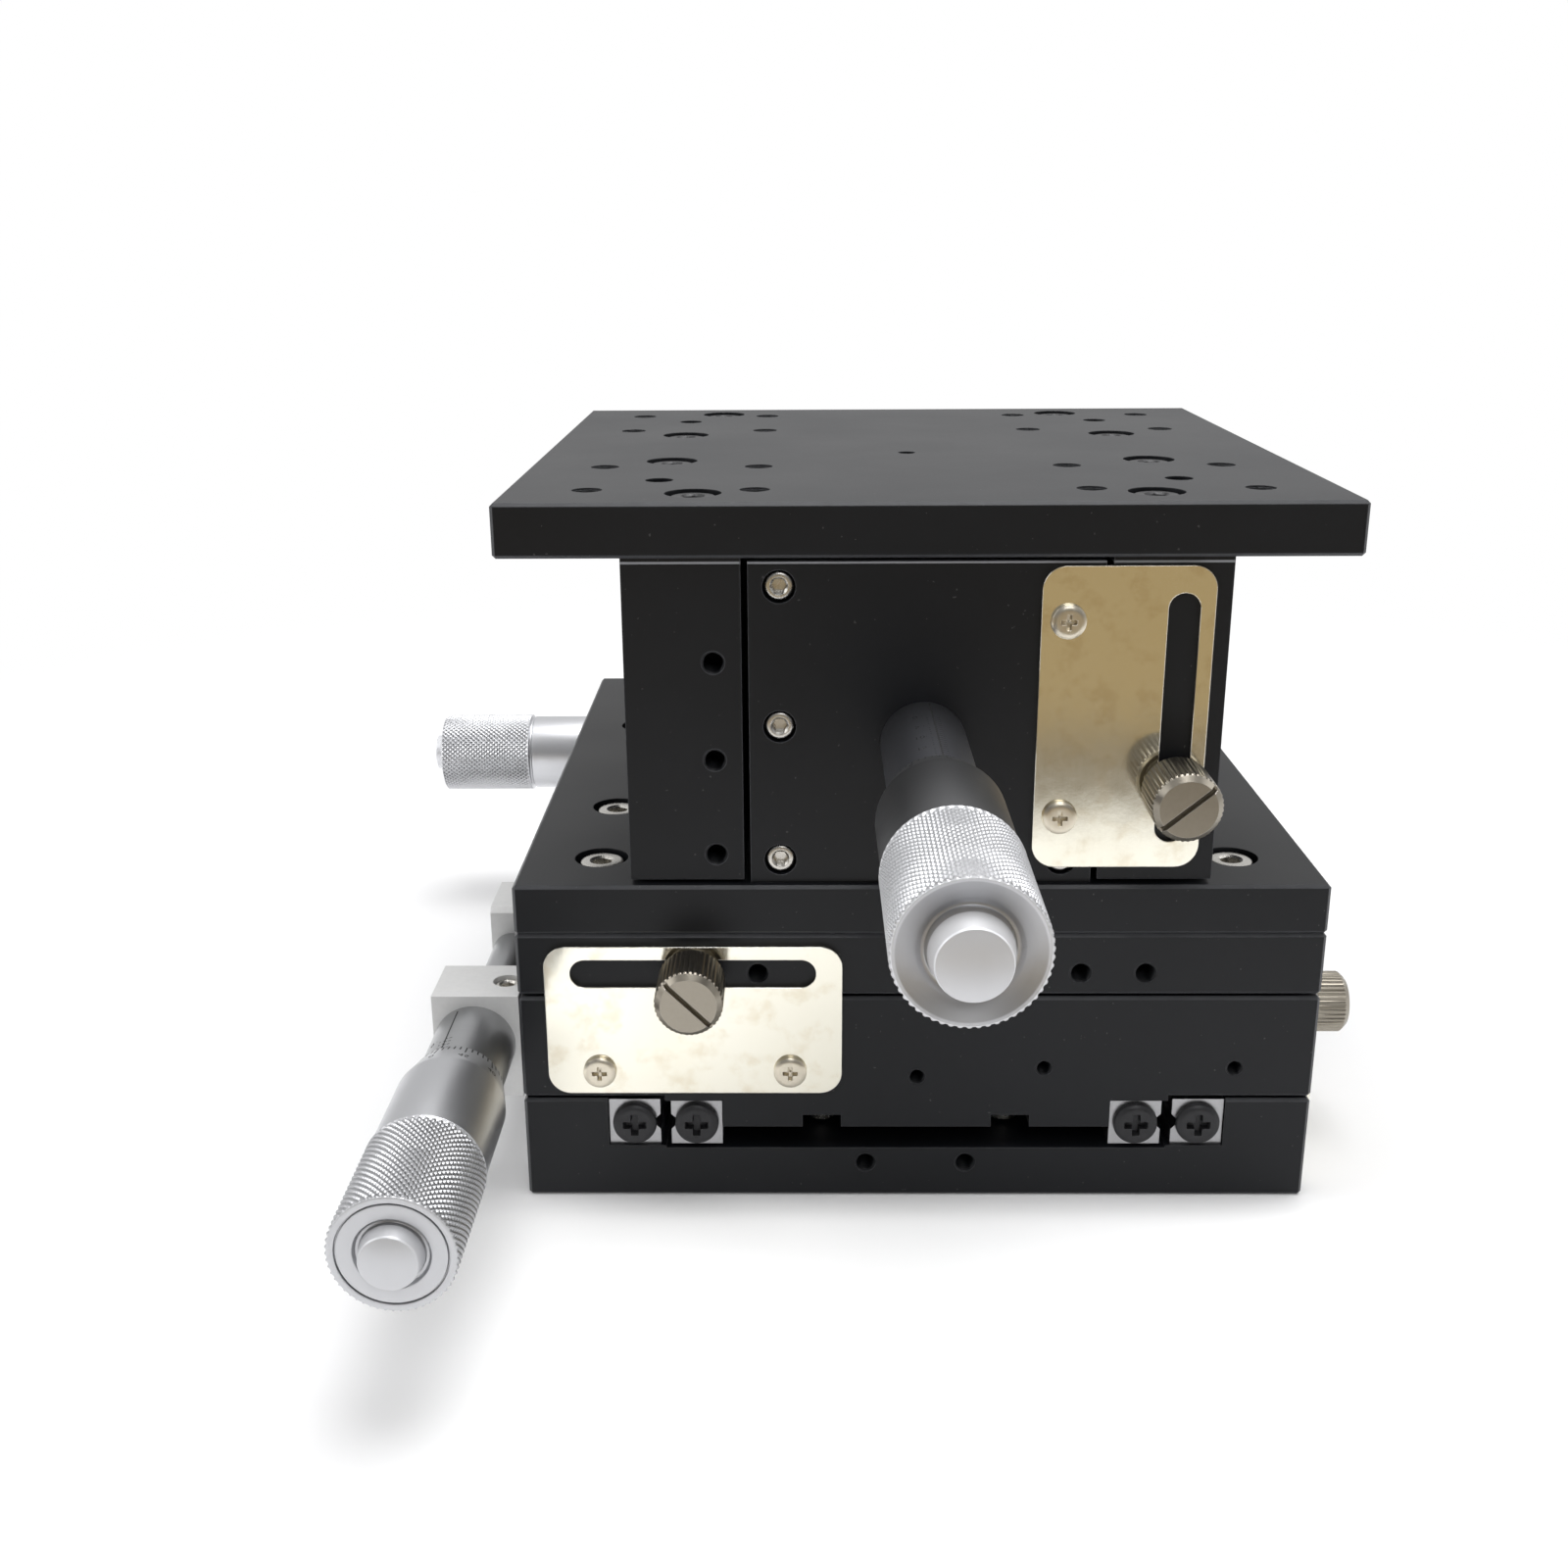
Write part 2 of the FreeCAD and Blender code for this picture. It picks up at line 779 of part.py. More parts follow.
upper_fixed_post = -cell("spring_far_post") - cell("upper_spring_shift")
upper_moving_post = cell("spring_near_post") - cell("upper_spring_shift")
x_clamp_x = -cell("x_clamp_offset")
x_clamp_z = upper_bottom + cell("x_clamp_height")
y_clamp_y = cell("y_clamp_front") - half
y_clamp_z = middle_bottom + cell("y_clamp_height")
column_inside = cell("frame_half_width") + cell("column_gap")
z_clamp_x = column_inside + cell("z_clamp_margin")
z_clamp_z = z_base_top + cell("frame_height") / 2 + cell("z_clamp_rise")
frame_front = cell("frame_recess") - half
frame_inner = frame_front + cell("front_plate_thickness")
frame_back = -frame_front
clamp_spots = [cell("clamp_screw_pitch") / -2, cell("clamp_screw_pitch") / 2]
clamp_drop = cell("clamp_screw_drop")
anvil_y = cell("y_anvil_front") - half
anvil_out = half + cell("y_anvil_depth")
anvil_middle = anvil_y + cell("y_anvil_length") / 2
anvil_spots = [anvil_middle + cell("y_anvil_screw_pitch") / 2 * hand for hand in (-1, 1)]
y_screw_z = middle_bottom + cell("y_screw_height")
x_screw_z = middle_bottom + cell("x_screw_height")
screw_out = half + cell("screw_offset")
x_screw_out = half + cell("x_screw_offset")
bracket_out = half + cell("bracket_depth")
x_bracket_out = half + cell("x_bracket_depth")
bracket_front = cell("bracket_inset") - half
bracket_middle = bracket_front + cell("bracket_width") / 2
bracket_spots = [bracket_middle + cell("bracket_screw_pitch") / 2 * hand for hand in (-1, 1)]
x_bracket_x = -cell("x_bracket_left")
x_bracket_middle = x_bracket_x + cell("bracket_width") / 2
x_bracket_spots = [x_bracket_middle + cell("bracket_screw_pitch") / 2 * hand for hand in (-1, 1)]
y_bracket_screw_z = middle_bottom + cell("y_bracket_screw_height")
x_bracket_screw_z = middle_bottom + cell("x_bracket_screw_height")
x_anvil_middle = cell("x_anvil_length") / 2 - cell("x_anvil_left")
x_anvil_spots = [x_anvil_middle + cell("bracket_screw_pitch") / 2 * hand for hand in (-1, 1)]
x_anvil_screw_z = upper_bottom + cell("x_anvil_screw_height")
small_reach = cell("small_length") + cell("small_seat_depth") - cell("bracket_depth") + thread_gap
x_small_reach = small_reach + cell("bracket_depth") - cell("x_bracket_depth")
outer_row = outer_back - rail_width / 2
inner_row = inner_back + rail_width / 2


def tongued_outline(levels, bottom, top):
    """Cross-section of a moving plate with its tongue, the lands for its rails and two spring grooves."""
    right = [(groove_inside, levels.tongue), (groove_inside, levels.groove)]
    right += [(groove_outside, levels.groove), (groove_outside, levels.tongue)]
    right += [(tongue_half, levels.tongue), (tongue_half, levels.rail_top)]
    right += [(guide, levels.rail_top), (guide, bottom), (half, bottom), (half, top)]
    return mirrored(right)


def channel_outline(levels, top):
    """Cross-section of the channel that holds two outer rails."""
    right = [(guide, levels.floor), (guide, levels.seat), (channel_half, levels.seat), (channel_half, top)]
    return mirrored(right)


def rows(along, across, swap):
    """Screw places: two rows at plus and minus `across`, with the given spots along them."""
    places = [(across * hand, spot) for hand in (-1, 1) for spot in along]
    return [(spot, row_place) for row_place, spot in places] if swap else places


def base_plate():
    body = new_body("base_plate")
    right = [(half, as_size(0)), (half, base_top), (channel_half, base_top), (channel_half, lower.seat)]
    right += [(guide, lower.seat), (guide, lower.floor)]
    points = mirrored(right)
    pad_outline(body, "XZ_Plane", as_size(0), points, side, 0)
    seat = lower.seat - cell("cap_length") + cell("cap_thread_depth") - over
    places = rows(screw_spots, outer_row, False)
    drill(body, "XY_Plane", as_size(0), places, cap_through, base_top)
    drill(body, "XY_Plane", as_size(0), places, cap_bore, seat)
    drill(body, "XY_Plane", as_size(0), corners(*[cell("base_mount_offset")] * 2), cell("base_mount_hole"),
          cell("base_mount_depth"))
    post_depth = cell("post_length") - (lower.lower_seat - lower.floor) + thread_gap
    posts = [(cell("spring_offset") * hand, cell("spring_far_post")) for hand in (-1, 1)]
    drill(body, "XY_Plane", lower.floor, posts, post_hole, post_depth, -1)
    taps = [(cell("base_tap_offset") * hand, cell("base_tap_height")) for hand in (-1, 1)]
    drill(body, "XZ_Plane", -half, taps, cell("base_tap"), cell("tap_depth"))
    spots = [(spot, cell("y_anvil_screw_height")) for spot in anvil_spots]
    drill(body, "YZ_Plane", -half, spots, cap_tap, cell("anvil_screw_reach") + over)
    spots = [(y_clamp_y + spot, y_clamp_z - clamp_drop) for spot in clamp_spots]
    drill(body, "YZ_Plane", half, spots, cell("small_tap"), cell("pan_length"), -1)
    break_plate_edges(body, as_size(0), base_top)
    keep(body, "base_plate")
    return seat


def middle_plate():
    body = new_body("middle_plate")
    pad_outline(body, "XZ_Plane", as_size(0), tongued_outline(lower, middle_bottom, middle_top), side, 0)
    cut_outline(body, "YZ_Plane", as_size(0), channel_outline(upper, middle_top + over), side + over * 2, 0)
    # Rail screws for the lower inner rails enter from above, those for the upper outer rails from below
    down_seat = lower.rail_top + cell("cap_length") - cell("cap_thread_depth") + over
    up_seat = upper.seat - cell("cap_length") + cell("cap_thread_depth") - over
    places = rows(screw_spots, inner_row, False)
    drill(body, "XY_Plane", middle_top, places, cap_through, middle_top - lower.rail_top + over, -1)
    drill(body, "XY_Plane", middle_top, places, cap_bore, middle_top - down_seat, -1)
    places = rows(screw_spots, outer_row, True)
    drill(body, "XY_Plane", lower.tongue, places, cap_through, upper.seat - lower.tongue + over)
    drill(body, "XY_Plane", lower.tongue, places, cap_bore, up_seat - lower.tongue)
    front_posts = [(cell("spring_offset") * hand, -cell("spring_near_post")) for hand in (-1, 1)]
    post_depth = cell("post_length") - (lower.groove - lower.upper_seat) + thread_gap
    drill(body, "XY_Plane", lower.groove, front_posts, post_hole, post_depth)
    side_posts = [(upper_fixed_post, cell("spring_offset") * hand) for hand in (-1, 1)]
    post_depth = cell("post_length") - (upper.lower_seat - upper.floor) + thread_gap
    drill(body, "XY_Plane", upper.floor, side_posts, post_hole, post_depth, -1)
    tap_z = x_clamp_z - clamp_drop
    reaches = (cell("middle_tap_near"), cell("middle_tap_far"))
    taps = [(reach * hand, tap_z) for reach in reaches for hand in (-1, 1)]
    taps.append((as_size(0), middle_bottom + cell("middle_stop_height")))
    drill(body, "XZ_Plane", -half, taps, cell("small_tap"), cell("tap_depth"))
    drill(body, "YZ_Plane", half, [(y_clamp_y, y_clamp_z)], cell("medium_tap"), cell("tap_depth"), -1)
    spots = [(spot, y_bracket_screw_z) for spot in bracket_spots]
    drill(body, "YZ_Plane", -half, spots, small_tap_hole, small_reach)
    spots = [(spot, x_bracket_screw_z) for spot in x_bracket_spots]
    drill(body, "XZ_Plane", half, spots, small_tap_hole, x_small_reach, -1)
    break_plate_edges(body, middle_bottom, middle_top)
    keep(body, "middle_plate")
    return down_seat, up_seat


def upper_plate():
    body = new_body("upper_plate")
    pad_outline(body, "YZ_Plane", as_size(0), tongued_outline(upper, upper_bottom, upper_top), side, 0)
    for hand in (-1, 1):
        end = rectangle((half + over) * hand, upper_tongue / 2 * hand, -half, half)
        cut_outline(body, "XY_Plane", upper_bottom, end, upper_bottom - upper.tongue + over, -1)
    seat = upper.rail_top + cell("cap_length") - cell("cap_thread_depth") / 2
    places = rows(upper_spots, inner_row, True)
    drill(body, "XY_Plane", upper_top, places, cap_through, upper_top - upper.rail_top + over, -1)
    drill(body, "XY_Plane", upper_top, places, cap_bore, upper_top - seat, -1)
    drill(body, "XY_Plane", upper_top, cap_places(), large_tap, plate_screw_reach, -1)
    posts = [(upper_moving_post, cell("spring_offset") * hand) for hand in (-1, 1)]
    post_depth = cell("post_length") - (upper.groove - upper.upper_seat) + thread_gap
    drill(body, "XY_Plane", upper.groove, posts, post_hole, post_depth)
    tap_z = upper_bottom + cell("upper_tap_height")
    reaches = (-cell("upper_tap_near"), cell("upper_tap_near"), cell("upper_tap_far"))
    taps = [(reach, tap_z) for reach in reaches]
    drill(body, "XZ_Plane", -half, taps + [(x_clamp_x, x_clamp_z)], cell("medium_tap"), cell("tap_depth"))
    spots = [(spot, x_anvil_screw_z) for spot in x_anvil_spots]
    drill(body, "XZ_Plane", half, spots, small_tap_hole, small_reach, -1)
    break_plate_edges(body, upper_bottom, upper_top)
    keep(body, "upper_plate")
    return seat


plate_screw_reach = cell("large_length") - cell("z_base_height") + cell("large_seat_depth") + thread_gap
frame_screw_seat = upper_top + cell("large_seat_depth")


def cap_places():
    far = cell("outer_cap_offset")
    return corners(far, far) + corners(far, far / 2)


def frame_screw_places():
    reach = cell("frame_half_width") - cell("frame_screw_margin")
    depths = (-cell("frame_screw_front"), cell("frame_screw_back"))
    return [(reach * hand, depth) for hand in (-1, 1) for depth in depths]


def z_base_plate():
    body = new_body("z_base_plate")
    pad_outline(body, "XY_Plane", upper_top, rectangle(-half, half, -half, half), cell("z_base_height"))
    places = cap_places()
    drill(body, "XY_Plane", z_base_top, places, large_through, cell("z_base_height") + over, -1)
    drill(body, "XY_Plane", z_base_top, places, cell("large_counterbore"), cell("large_seat_depth"), -1)
    places = frame_screw_places()
    drill(body, "XY_Plane", upper_top, places, large_through, cell("z_base_height") + over)
    drill(body, "XY_Plane", upper_top, places, cell("large_counterbore"), cell("large_seat_depth"))
    break_plate_edges(body, upper_top, z_base_top)
    return keep(body, "z_base_plate")


base_seat = base_plate()
down_seat, up_seat = middle_plate()
upper_seat = upper_plate()
z_base_plate()

# Lift: the wedge drives a follower roller that hangs from the top plate

follower_reach = (cell("follower_diameter") / 2 + running) / ROOT_TWO
cavity_z = z_base_top + cell("cavity_floor")
wedge_front = frame_inner + cell("wedge_gap")
slope_top_y = wedge_front + cell("wedge_land")
wedge_top = frame_top - cell("wedge_head_gap")
foot_z = cavity_z + cell("wedge_foot")
foot_y = slope_top_y + wedge_top - foot_z
follower_y = foot_y - cell("contact_rise") + follower_reach
follower_z = foot_z + cell("contact_rise") + follower_reach
flange_bottom = top_bottom - cell("flange_thickness")
z_screw_z = z_base_top + cell("z_screw_height")
column_outside = column_inside + cell("column_width")
z_inner_back = z_guide - cell("z_rail_gap") / 2 - rail_width
z_outer_back = z_guide + cell("z_rail_gap") / 2 + rail_width
cavity_half = z_inner_back - cell("cavity_wall")
wedge_half = cavity_half - cell("wedge_side_gap")
z_spring_side = cavity_half - cell("z_spring_wall_gap")
rail_pocket = rail_height / 2 + running
front_low = z_base_top + cell("front_screw_foot")
front_high = frame_top - cell("front_screw_head")
front_rows = [front_low, (front_low + front_high) / 2, front_high]
front_side = cell("frame_half_width") - cell("front_screw_margin")
front_screw_places = [(front_side * hand, level) for hand in (-1, 1) for level in front_rows]
z_spring_low = z_base_top + cell("z_spring_foot")
z_spring_high = top_bottom - cell("flange_thickness") / 2
z_post_seat = z_spring_side - cell("spring_eye_thickness") / 2 - cell("post_play")
z_top_seat = z_spring_side + cell("spring_eye_thickness") / 2 + cell("post_play")


def z_frame_block():
    body = new_body("z_frame_block")
    wide = cell("frame_half_width")
    outline = rectangle(-wide, wide, frame_inner, frame_back)
    pad_outline(body, "XY_Plane", z_base_top, outline, cell("frame_height"))
    inner = cavity_half
    cavity = rectangle(-inner, inner, frame_inner - over, cell("cavity_back"))
    cut_outline(body, "XY_Plane", cavity_z, cavity, cell("frame_height"))
    for hand in (-1, 1):
        pocket = rectangle(z_inner_back * hand, (wide + over) * hand, -rail_pocket, rail_pocket)
        cut_outline(body, "XY_Plane", z_rail_bottom, pocket, cell("frame_height"))
        post_depth = z_post_seat + cell("post_length") - inner + thread_gap
        spots = [(cell("z_spring_place"), z_spring_low)]
        drill(body, "YZ_Plane", inner * hand, spots, post_hole, post_depth, hand)
    drill(body, "XZ_Plane", frame_inner, front_screw_places, small_tap_hole, cell("front_thread_depth"))
    reach = cell("large_length") - cell("z_base_height") + cell("large_seat_depth") + thread_gap
    drill(body, "XY_Plane", z_base_top, frame_screw_places(), large_tap, reach)
    return keep(body, "z_frame_block")


def z_front_plate():
    body = new_body("z_front_plate")
    wide = cell("frame_half_width")
    outline = rectangle(-wide, wide, frame_front, frame_inner)
    pad_outline(body, "XY_Plane", z_base_top, outline, cell("frame_height"))
    thick = cell("front_plate_thickness")
    bore = cell("stem_diameter") + running * 2
    drill(body, "XZ_Plane", frame_front, [(as_size(0), z_screw_z)], bore, thick + over)
    places = front_screw_places
    drill(body, "XZ_Plane", frame_front, places, small_tap_hole, thick + over)
    drill(body, "XZ_Plane", frame_front, places, cell("front_counterbore"), cell("small_seat_depth"))
    taps = [(z_clamp_x - clamp_drop, z_clamp_z + spot) for spot in clamp_spots]
    drill(body, "XZ_Plane", frame_front, taps, cell("small_tap"), cell("pan_length"))
    return keep(body, "z_front_plate")


def column_cap_places(hand):
    near = ((column_inside + cell("column_cap_near_margin")) * hand, cell("column_cap_y_far"))
    far = ((column_inside + cell("column_cap_far_margin")) * hand, cell("column_cap_y_near"))
    return [(x, y * end) for x, y in (near, far) for end in (-1, 1)]


def column(label, hand):
    body = new_body(label)
    tall = top_bottom - column_bottom
    outline = rectangle(column_inside * hand, column_outside * hand, frame_front, frame_back)
    pad_outline(body, "XY_Plane", column_bottom, outline, tall)
    pocket = rectangle((column_inside - over) * hand, z_outer_back * hand, -rail_pocket, rail_pocket)
    cut_outline(body, "XY_Plane", z_rail_bottom, pocket, tall)
    depth = cell("large_length") + cell("large_seat_depth") - cell("top_height") + over
    drill(body, "XY_Plane", top_bottom, column_cap_places(hand), large_tap, depth, -1)
    if hand > 0:
        taps = [(z_clamp_x, z_clamp_z - cell("z_travel") / 2)]
    else:
        foot = z_base_top + cell("column_tap_foot")
        tap_x = column_inside + cell("column_tap_margin")
        taps = [(-tap_x, foot + cell("column_tap_pitch") * step) for step in range(3)]
    drill(body, "XZ_Plane", frame_front, taps, cell("medium_tap"), cell("tap_depth"))
    return keep(body, label)


def top_plate():
    body = new_body("top_plate")
    pad_outline(body, "XY_Plane", top_bottom, rectangle(-half, half, -half, half), cell("top_height"))
    pitch = cell("grid_pitch")
    steps = (-2, -1, 1, 2)
    grid = [(pitch * a, pitch * b) for a in steps for b in steps]
    through = cell("top_height") + over
    drill(body, "XY_Plane", top_top, grid, cell("grid_hole"), through, -1)
    sink = cell("grid_hole") + cell("grid_countersink") * 2
    drill(body, "XY_Plane", top_top, grid, sink, cell("grid_countersink"), -1)
    square = corners(*[cell("square_hole_offset")] * 2)
    drill(body, "XY_Plane", top_top, square, cell("square_hole"), through, -1)
    drill(body, "XY_Plane", top_top, [(as_size(0), follower_y)], cell("centre_hole"), through, -1)
    caps = column_cap_places(-1) + column_cap_places(1)
    drill(body, "XY_Plane", top_top, caps, large_through, through, -1)
    drill(body, "XY_Plane", top_top, caps, cell("large_counterbore"), cell("large_seat_depth"), -1)
    depth = cell("cap_length") - cell("flange_thickness") + thread_gap
    drill(body, "XY_Plane", top_bottom, flange_screw_places, cap_tap, depth)
    break_plate_edges(body, top_bottom, top_top)
    return keep(body, "top_plate")


def follower_bracket():
    """Flange under the top plate with two ears that carry the roller's pin."""
    body = new_body("follower_bracket")
    wide = cell("flange_half_width")
    outline = rectangle(-wide, wide, -cell("flange_front"), cell("flange_back"))
    pad_outline(body, "XY_Plane", flange_bottom, outline, cell("flange_thickness"))
    ear_in = cell("follower_width") / 2 + cell("ear_gap")
    thick = cell("ear_thickness")
    reach = cell("ear_radius")
    for hand in (-1, 1):
        ear = rectangle(follower_y - reach, follower_y + reach, follower_z, flange_bottom)
        pad_outline(body, "YZ_Plane", ear_in * hand, ear, thick, hand)
        sketch = new_sketch(body, "YZ_Plane", ear_in * hand)
        draw_circles(sketch, [(follower_y, follower_z)], reach * 2)
        raise_pad(body, sketch, "YZ_Plane", thick, hand)
    pin_hole = cell("pin_diameter") + running * 2
    drill(body, "YZ_Plane", as_size(0), [(follower_y, follower_z)], pin_hole, (ear_in + thick + over) * 2, 0)
    drill(body, "XY_Plane", flange_bottom, flange_screw_places, cap_through, cell("flange_thickness") + over)
    spots = [(as_size(0), follower_y)]
    drill(body, "XY_Plane", top_bottom, spots, cell("small_tap"), cell("flange_thickness") / 2, -1)
    post_depth = wide - (z_top_seat - cell("post_length")) + thread_gap
    for hand in (-1, 1):
        spot = [(cell("z_spring_place"), z_spring_high)]
        drill(body, "YZ_Plane", wide * hand, spot, post_hole, post_depth, -hand)
    return keep(body, "follower_bracket")


flange_screw_places = [(as_size(0), -cell("flange_screw_front")), (as_size(0), cell("flange_screw_back"))]
z_frame_block()
z_front_plate()
column("left_column", -1)
column("right_column", 1)
top_plate()
follower_bracket()


def wedge():
    body = new_body("wedge")
    tail = foot_y + cell("wedge_tail")
    points = [(wedge_front, cavity_z), (tail, cavity_z), (tail, foot_z)]
    points += [(foot_y, foot_z), (slope_top_y, wedge_top), (wedge_front, wedge_top)]
    pad_outline(body, "YZ_Plane", as_size(0), points, wedge_half * 2, 0)
    return keep(body, "wedge")


def ring(label, outside, inside, width):
    """A plain roller turned about its own Z axis, centred on its own origin."""
    return turned_body(label, rectangle(inside / 2, outside / 2, width / -2, width / 2))


wedge()
pin_bore = cell("pin_diameter") + running * 2
follower = ring("follower_roller", cell("follower_diameter"), pin_bore, cell("follower_width"))
keep(place(follower, 0, follower_y, follower_z, RIGHT), "follower_roller")
pin_half = cell("follower_width") / 2 + cell("ear_gap") + cell("ear_thickness")
pin_points = rectangle(as_size(0), cell("pin_diameter") / 2, -pin_half, pin_half)
keep(place(turned_body("roller_pin", pin_points), 0, follower_y, follower_z, RIGHT), "roller_pin")

rails = [copy_at(short_rail, z_inner_back * hand, 0, z_rail_middle, UPRIGHT * turn)
         for hand, turn in ((1, KEEP), (-1, TURNED))]
group("z_inner_rails", rails)
rails = [copy_at(short_rail, z_outer_back * hand, 0, z_rail_middle, UPRIGHT * turn)
         for hand, turn in ((1, FLIPPED), (-1, KEEP))]
group("z_outer_rails", rails)

# Brackets and anvils


def y_micrometer_bracket():
    body = new_body("y_micrometer_bracket")
    outline = rectangle(-bracket_out, -half, bracket_front, bracket_front + cell("bracket_width"))
    pad_outline(body, "XY_Plane", middle_bottom, outline, cell("middle_height"))
    bore = cell("stem_diameter") + running * 2
    drill(body, "XZ_Plane", bracket_front, [(-screw_out, y_screw_z)], bore, cell("bracket_width") + over)
    spots = [(spot, y_bracket_screw_z) for spot in bracket_spots]
    drill(body, "YZ_Plane", -bracket_out, spots, small_tap_hole, cell("bracket_depth") + over)
    drill(body, "YZ_Plane", -bracket_out, spots, small_bore, cell("small_seat_depth"))
    spots = [(-half - cell("pinch_offset"), bracket_middle)]
    drill(body, "XY_Plane", middle_top, spots, small_tap_hole, pinch_depth, -1)
    drill(body, "XY_Plane", middle_top, spots, small_bore, cell("small_seat_depth"), -1)
    return keep(body, "y_micrometer_bracket")


def x_micrometer_bracket():
    body = new_body("x_micrometer_bracket")
    bottom = middle_bottom + cell("x_bracket_rise")
    top = bottom + cell("x_bracket_height")
    inner = half + cell("face_gap")
    out = x_bracket_out
    outline = [(half, bottom), (out, bottom), (out, top), (inner, top), (inner, middle_top)]
    pad_outline(body, "YZ_Plane", x_bracket_x, outline + [(half, middle_top)], cell("bracket_width"))
    bore = cell("stem_diameter") + running * 2
    drill(body, "YZ_Plane", x_bracket_x, [(x_screw_out, x_screw_z)], bore, cell("bracket_width") + over)
    spots = [(spot, x_bracket_screw_z) for spot in x_bracket_spots]
    drill(body, "XZ_Plane", out, spots, small_tap_hole, cell("x_bracket_depth") + over, -1)
    drill(body, "XZ_Plane", out, spots, small_bore, cell("small_seat_depth"), -1)
    spots = [(x_bracket_middle, out - cell("pinch_offset"))]
    drill(body, "XY_Plane", top, spots, small_tap_hole, pinch_depth, -1)
    drill(body, "XY_Plane", top, spots, small_bore, cell("small_seat_depth"), -1)
    return keep(body, "x_micrometer_bracket")


def y_anvil_block():
    body = new_body("y_anvil_block")
    inner = -half - cell("face_gap")
    bottom = cell("y_anvil_bottom")
    top = cell("y_anvil_top")
    outline = [(-anvil_out, bottom), (-half, bottom), (-half, base_top), (inner, base_top), (inner, top)]
    pad_outline(body, "XZ_Plane", anvil_y, outline + [(-anvil_out, top)], cell("y_anvil_length"))
    spots = [(spot, cell("y_anvil_screw_height")) for spot in anvil_spots]
    drill(body, "YZ_Plane", -anvil_out, spots, cap_through, cell("y_anvil_depth") + over)
    drill(body, "YZ_Plane", -anvil_out, spots, cap_bore, anvil_out - half - anvil_seat)

    def on_top_front(edge):
        return lies_on(edge, "y", [anvil_y.number]) and lies_on(edge, "z", [top.number])

    soften(body, "Chamfer", cell("anvil_chamfer"), on_top_front)
    return keep(body, "y_anvil_block")


def x_anvil_block():
    body = new_body("x_anvil_block")
    inner = half + cell("face_gap")
    bottom = upper_bottom - cell("x_anvil_drop")
    top = upper_top - cell("x_anvil_top_gap")
    outline = [(half, upper_bottom), (inner, upper_bottom), (inner, bottom), (bracket_out, bottom)]
    outline += [(bracket_out, top), (half, top)]
    pad_outline(body, "YZ_Plane", -cell("x_anvil_left"), outline, cell("x_anvil_length"))
    spots = [(spot, x_anvil_screw_z) for spot in x_anvil_spots]
    drill(body, "XZ_Plane", bracket_out, spots, small_tap_hole, cell("bracket_depth") + over, -1)
    drill(body, "XZ_Plane", bracket_out, spots, small_bore, cell("small_seat_depth"), -1)
    return keep(body, "x_anvil_block")


anvil_seat = cell("cap_length") - cell("anvil_screw_reach")
pinch_depth = cell("small_seat_depth") + cell("pinch_length") + thread_gap
y_micrometer_bracket()
x_micrometer_bracket()
y_anvil_block()
x_anvil_block()

# Micrometer heads: own Z points from the thimble to the spindle's tip, own origin at the sleeve's root


class Head:
    """Sizes of one micrometer head."""

    def __init__(self, kind, seat, reach):
        prefix = "z_" if kind == "z" else ""
        self.kind = kind
        self.seat = seat
        self.reach = reach
        self.sleeve = cell(prefix + "sleeve_length")
        self.start = cell(prefix + "thimble_start")
        self.edge = cell(prefix + "thimble_edge")
        self.smooth = cell(prefix + "thimble_smooth")
        self.length = cell(prefix + "thimble_length")
        self.smooth_diameter = cell(prefix + "thimble_smooth_diameter")
        self.knurl_diameter = cell(prefix + "thimble_knurl_diameter")
        self.button_root = cell(prefix + "button_root")
        self.button_tip = cell(prefix + "button_tip")
        self.button_height = cell(prefix + "button_height")
        self.end = -self.start - self.length
        self.wall = self.end + cell("end_wall")


def sleeve(head, stem):
    bore = cell("spindle_diameter") / 2 + running
    points = [(bore, stem), (cell("stem_diameter") / 2, stem), (cell("stem_diameter") / 2, as_size(0))]
    points += [(cell("sleeve_diameter") / 2, as_size(0)), (cell("sleeve_diameter") / 2, -head.sleeve)]
    return turned_body(head.kind + "_sleeve", points + [(bore, -head.sleeve)])


def thimble(head):
    front = -head.start
    bore = cell("thimble_bore") / 2
    knurl = head.knurl_diameter / 2
    dish = cell("dish_diameter") / 2
    floor = head.end + cell("dish_depth")
    tip = head.end - head.button_height
    socket = cell("spigot_diameter") / 2 + running
    socket_end = head.wall - cell("spigot_length") - running
    smooth = head.smooth_diameter / 2
    points = [(bore, front), (head.edge / 2, front), (smooth, front - cell("thimble_bevel"))]
    points += [(smooth, front - head.smooth), (knurl, front - head.smooth)]
    points += [(knurl, head.end + cell("rim_chamfer")), (knurl - cell("rim_chamfer"), head.end)]
    points += [(dish, head.end), (dish, floor), (head.button_root / 2, floor), (head.button_tip / 2, tip)]
    points += [(as_size(0), tip), (as_size(0), socket_end), (socket, socket_end), (socket, head.wall)]
    return turned_body(head.kind + "_thimble", points + [(bore, head.wall)])


def spindle(head):
    thick = cell("spindle_diameter") / 2
    spigot = cell("spigot_diameter") / 2
    spigot_end = head.wall - cell("spigot_length")
    points = [(as_size(0), head.reach), (thick, head.reach), (thick, head.wall), (spigot, head.wall)]
    return turned_body(head.kind + "_spindle", points + [(spigot, spigot_end), (as_size(0), spigot_end)])


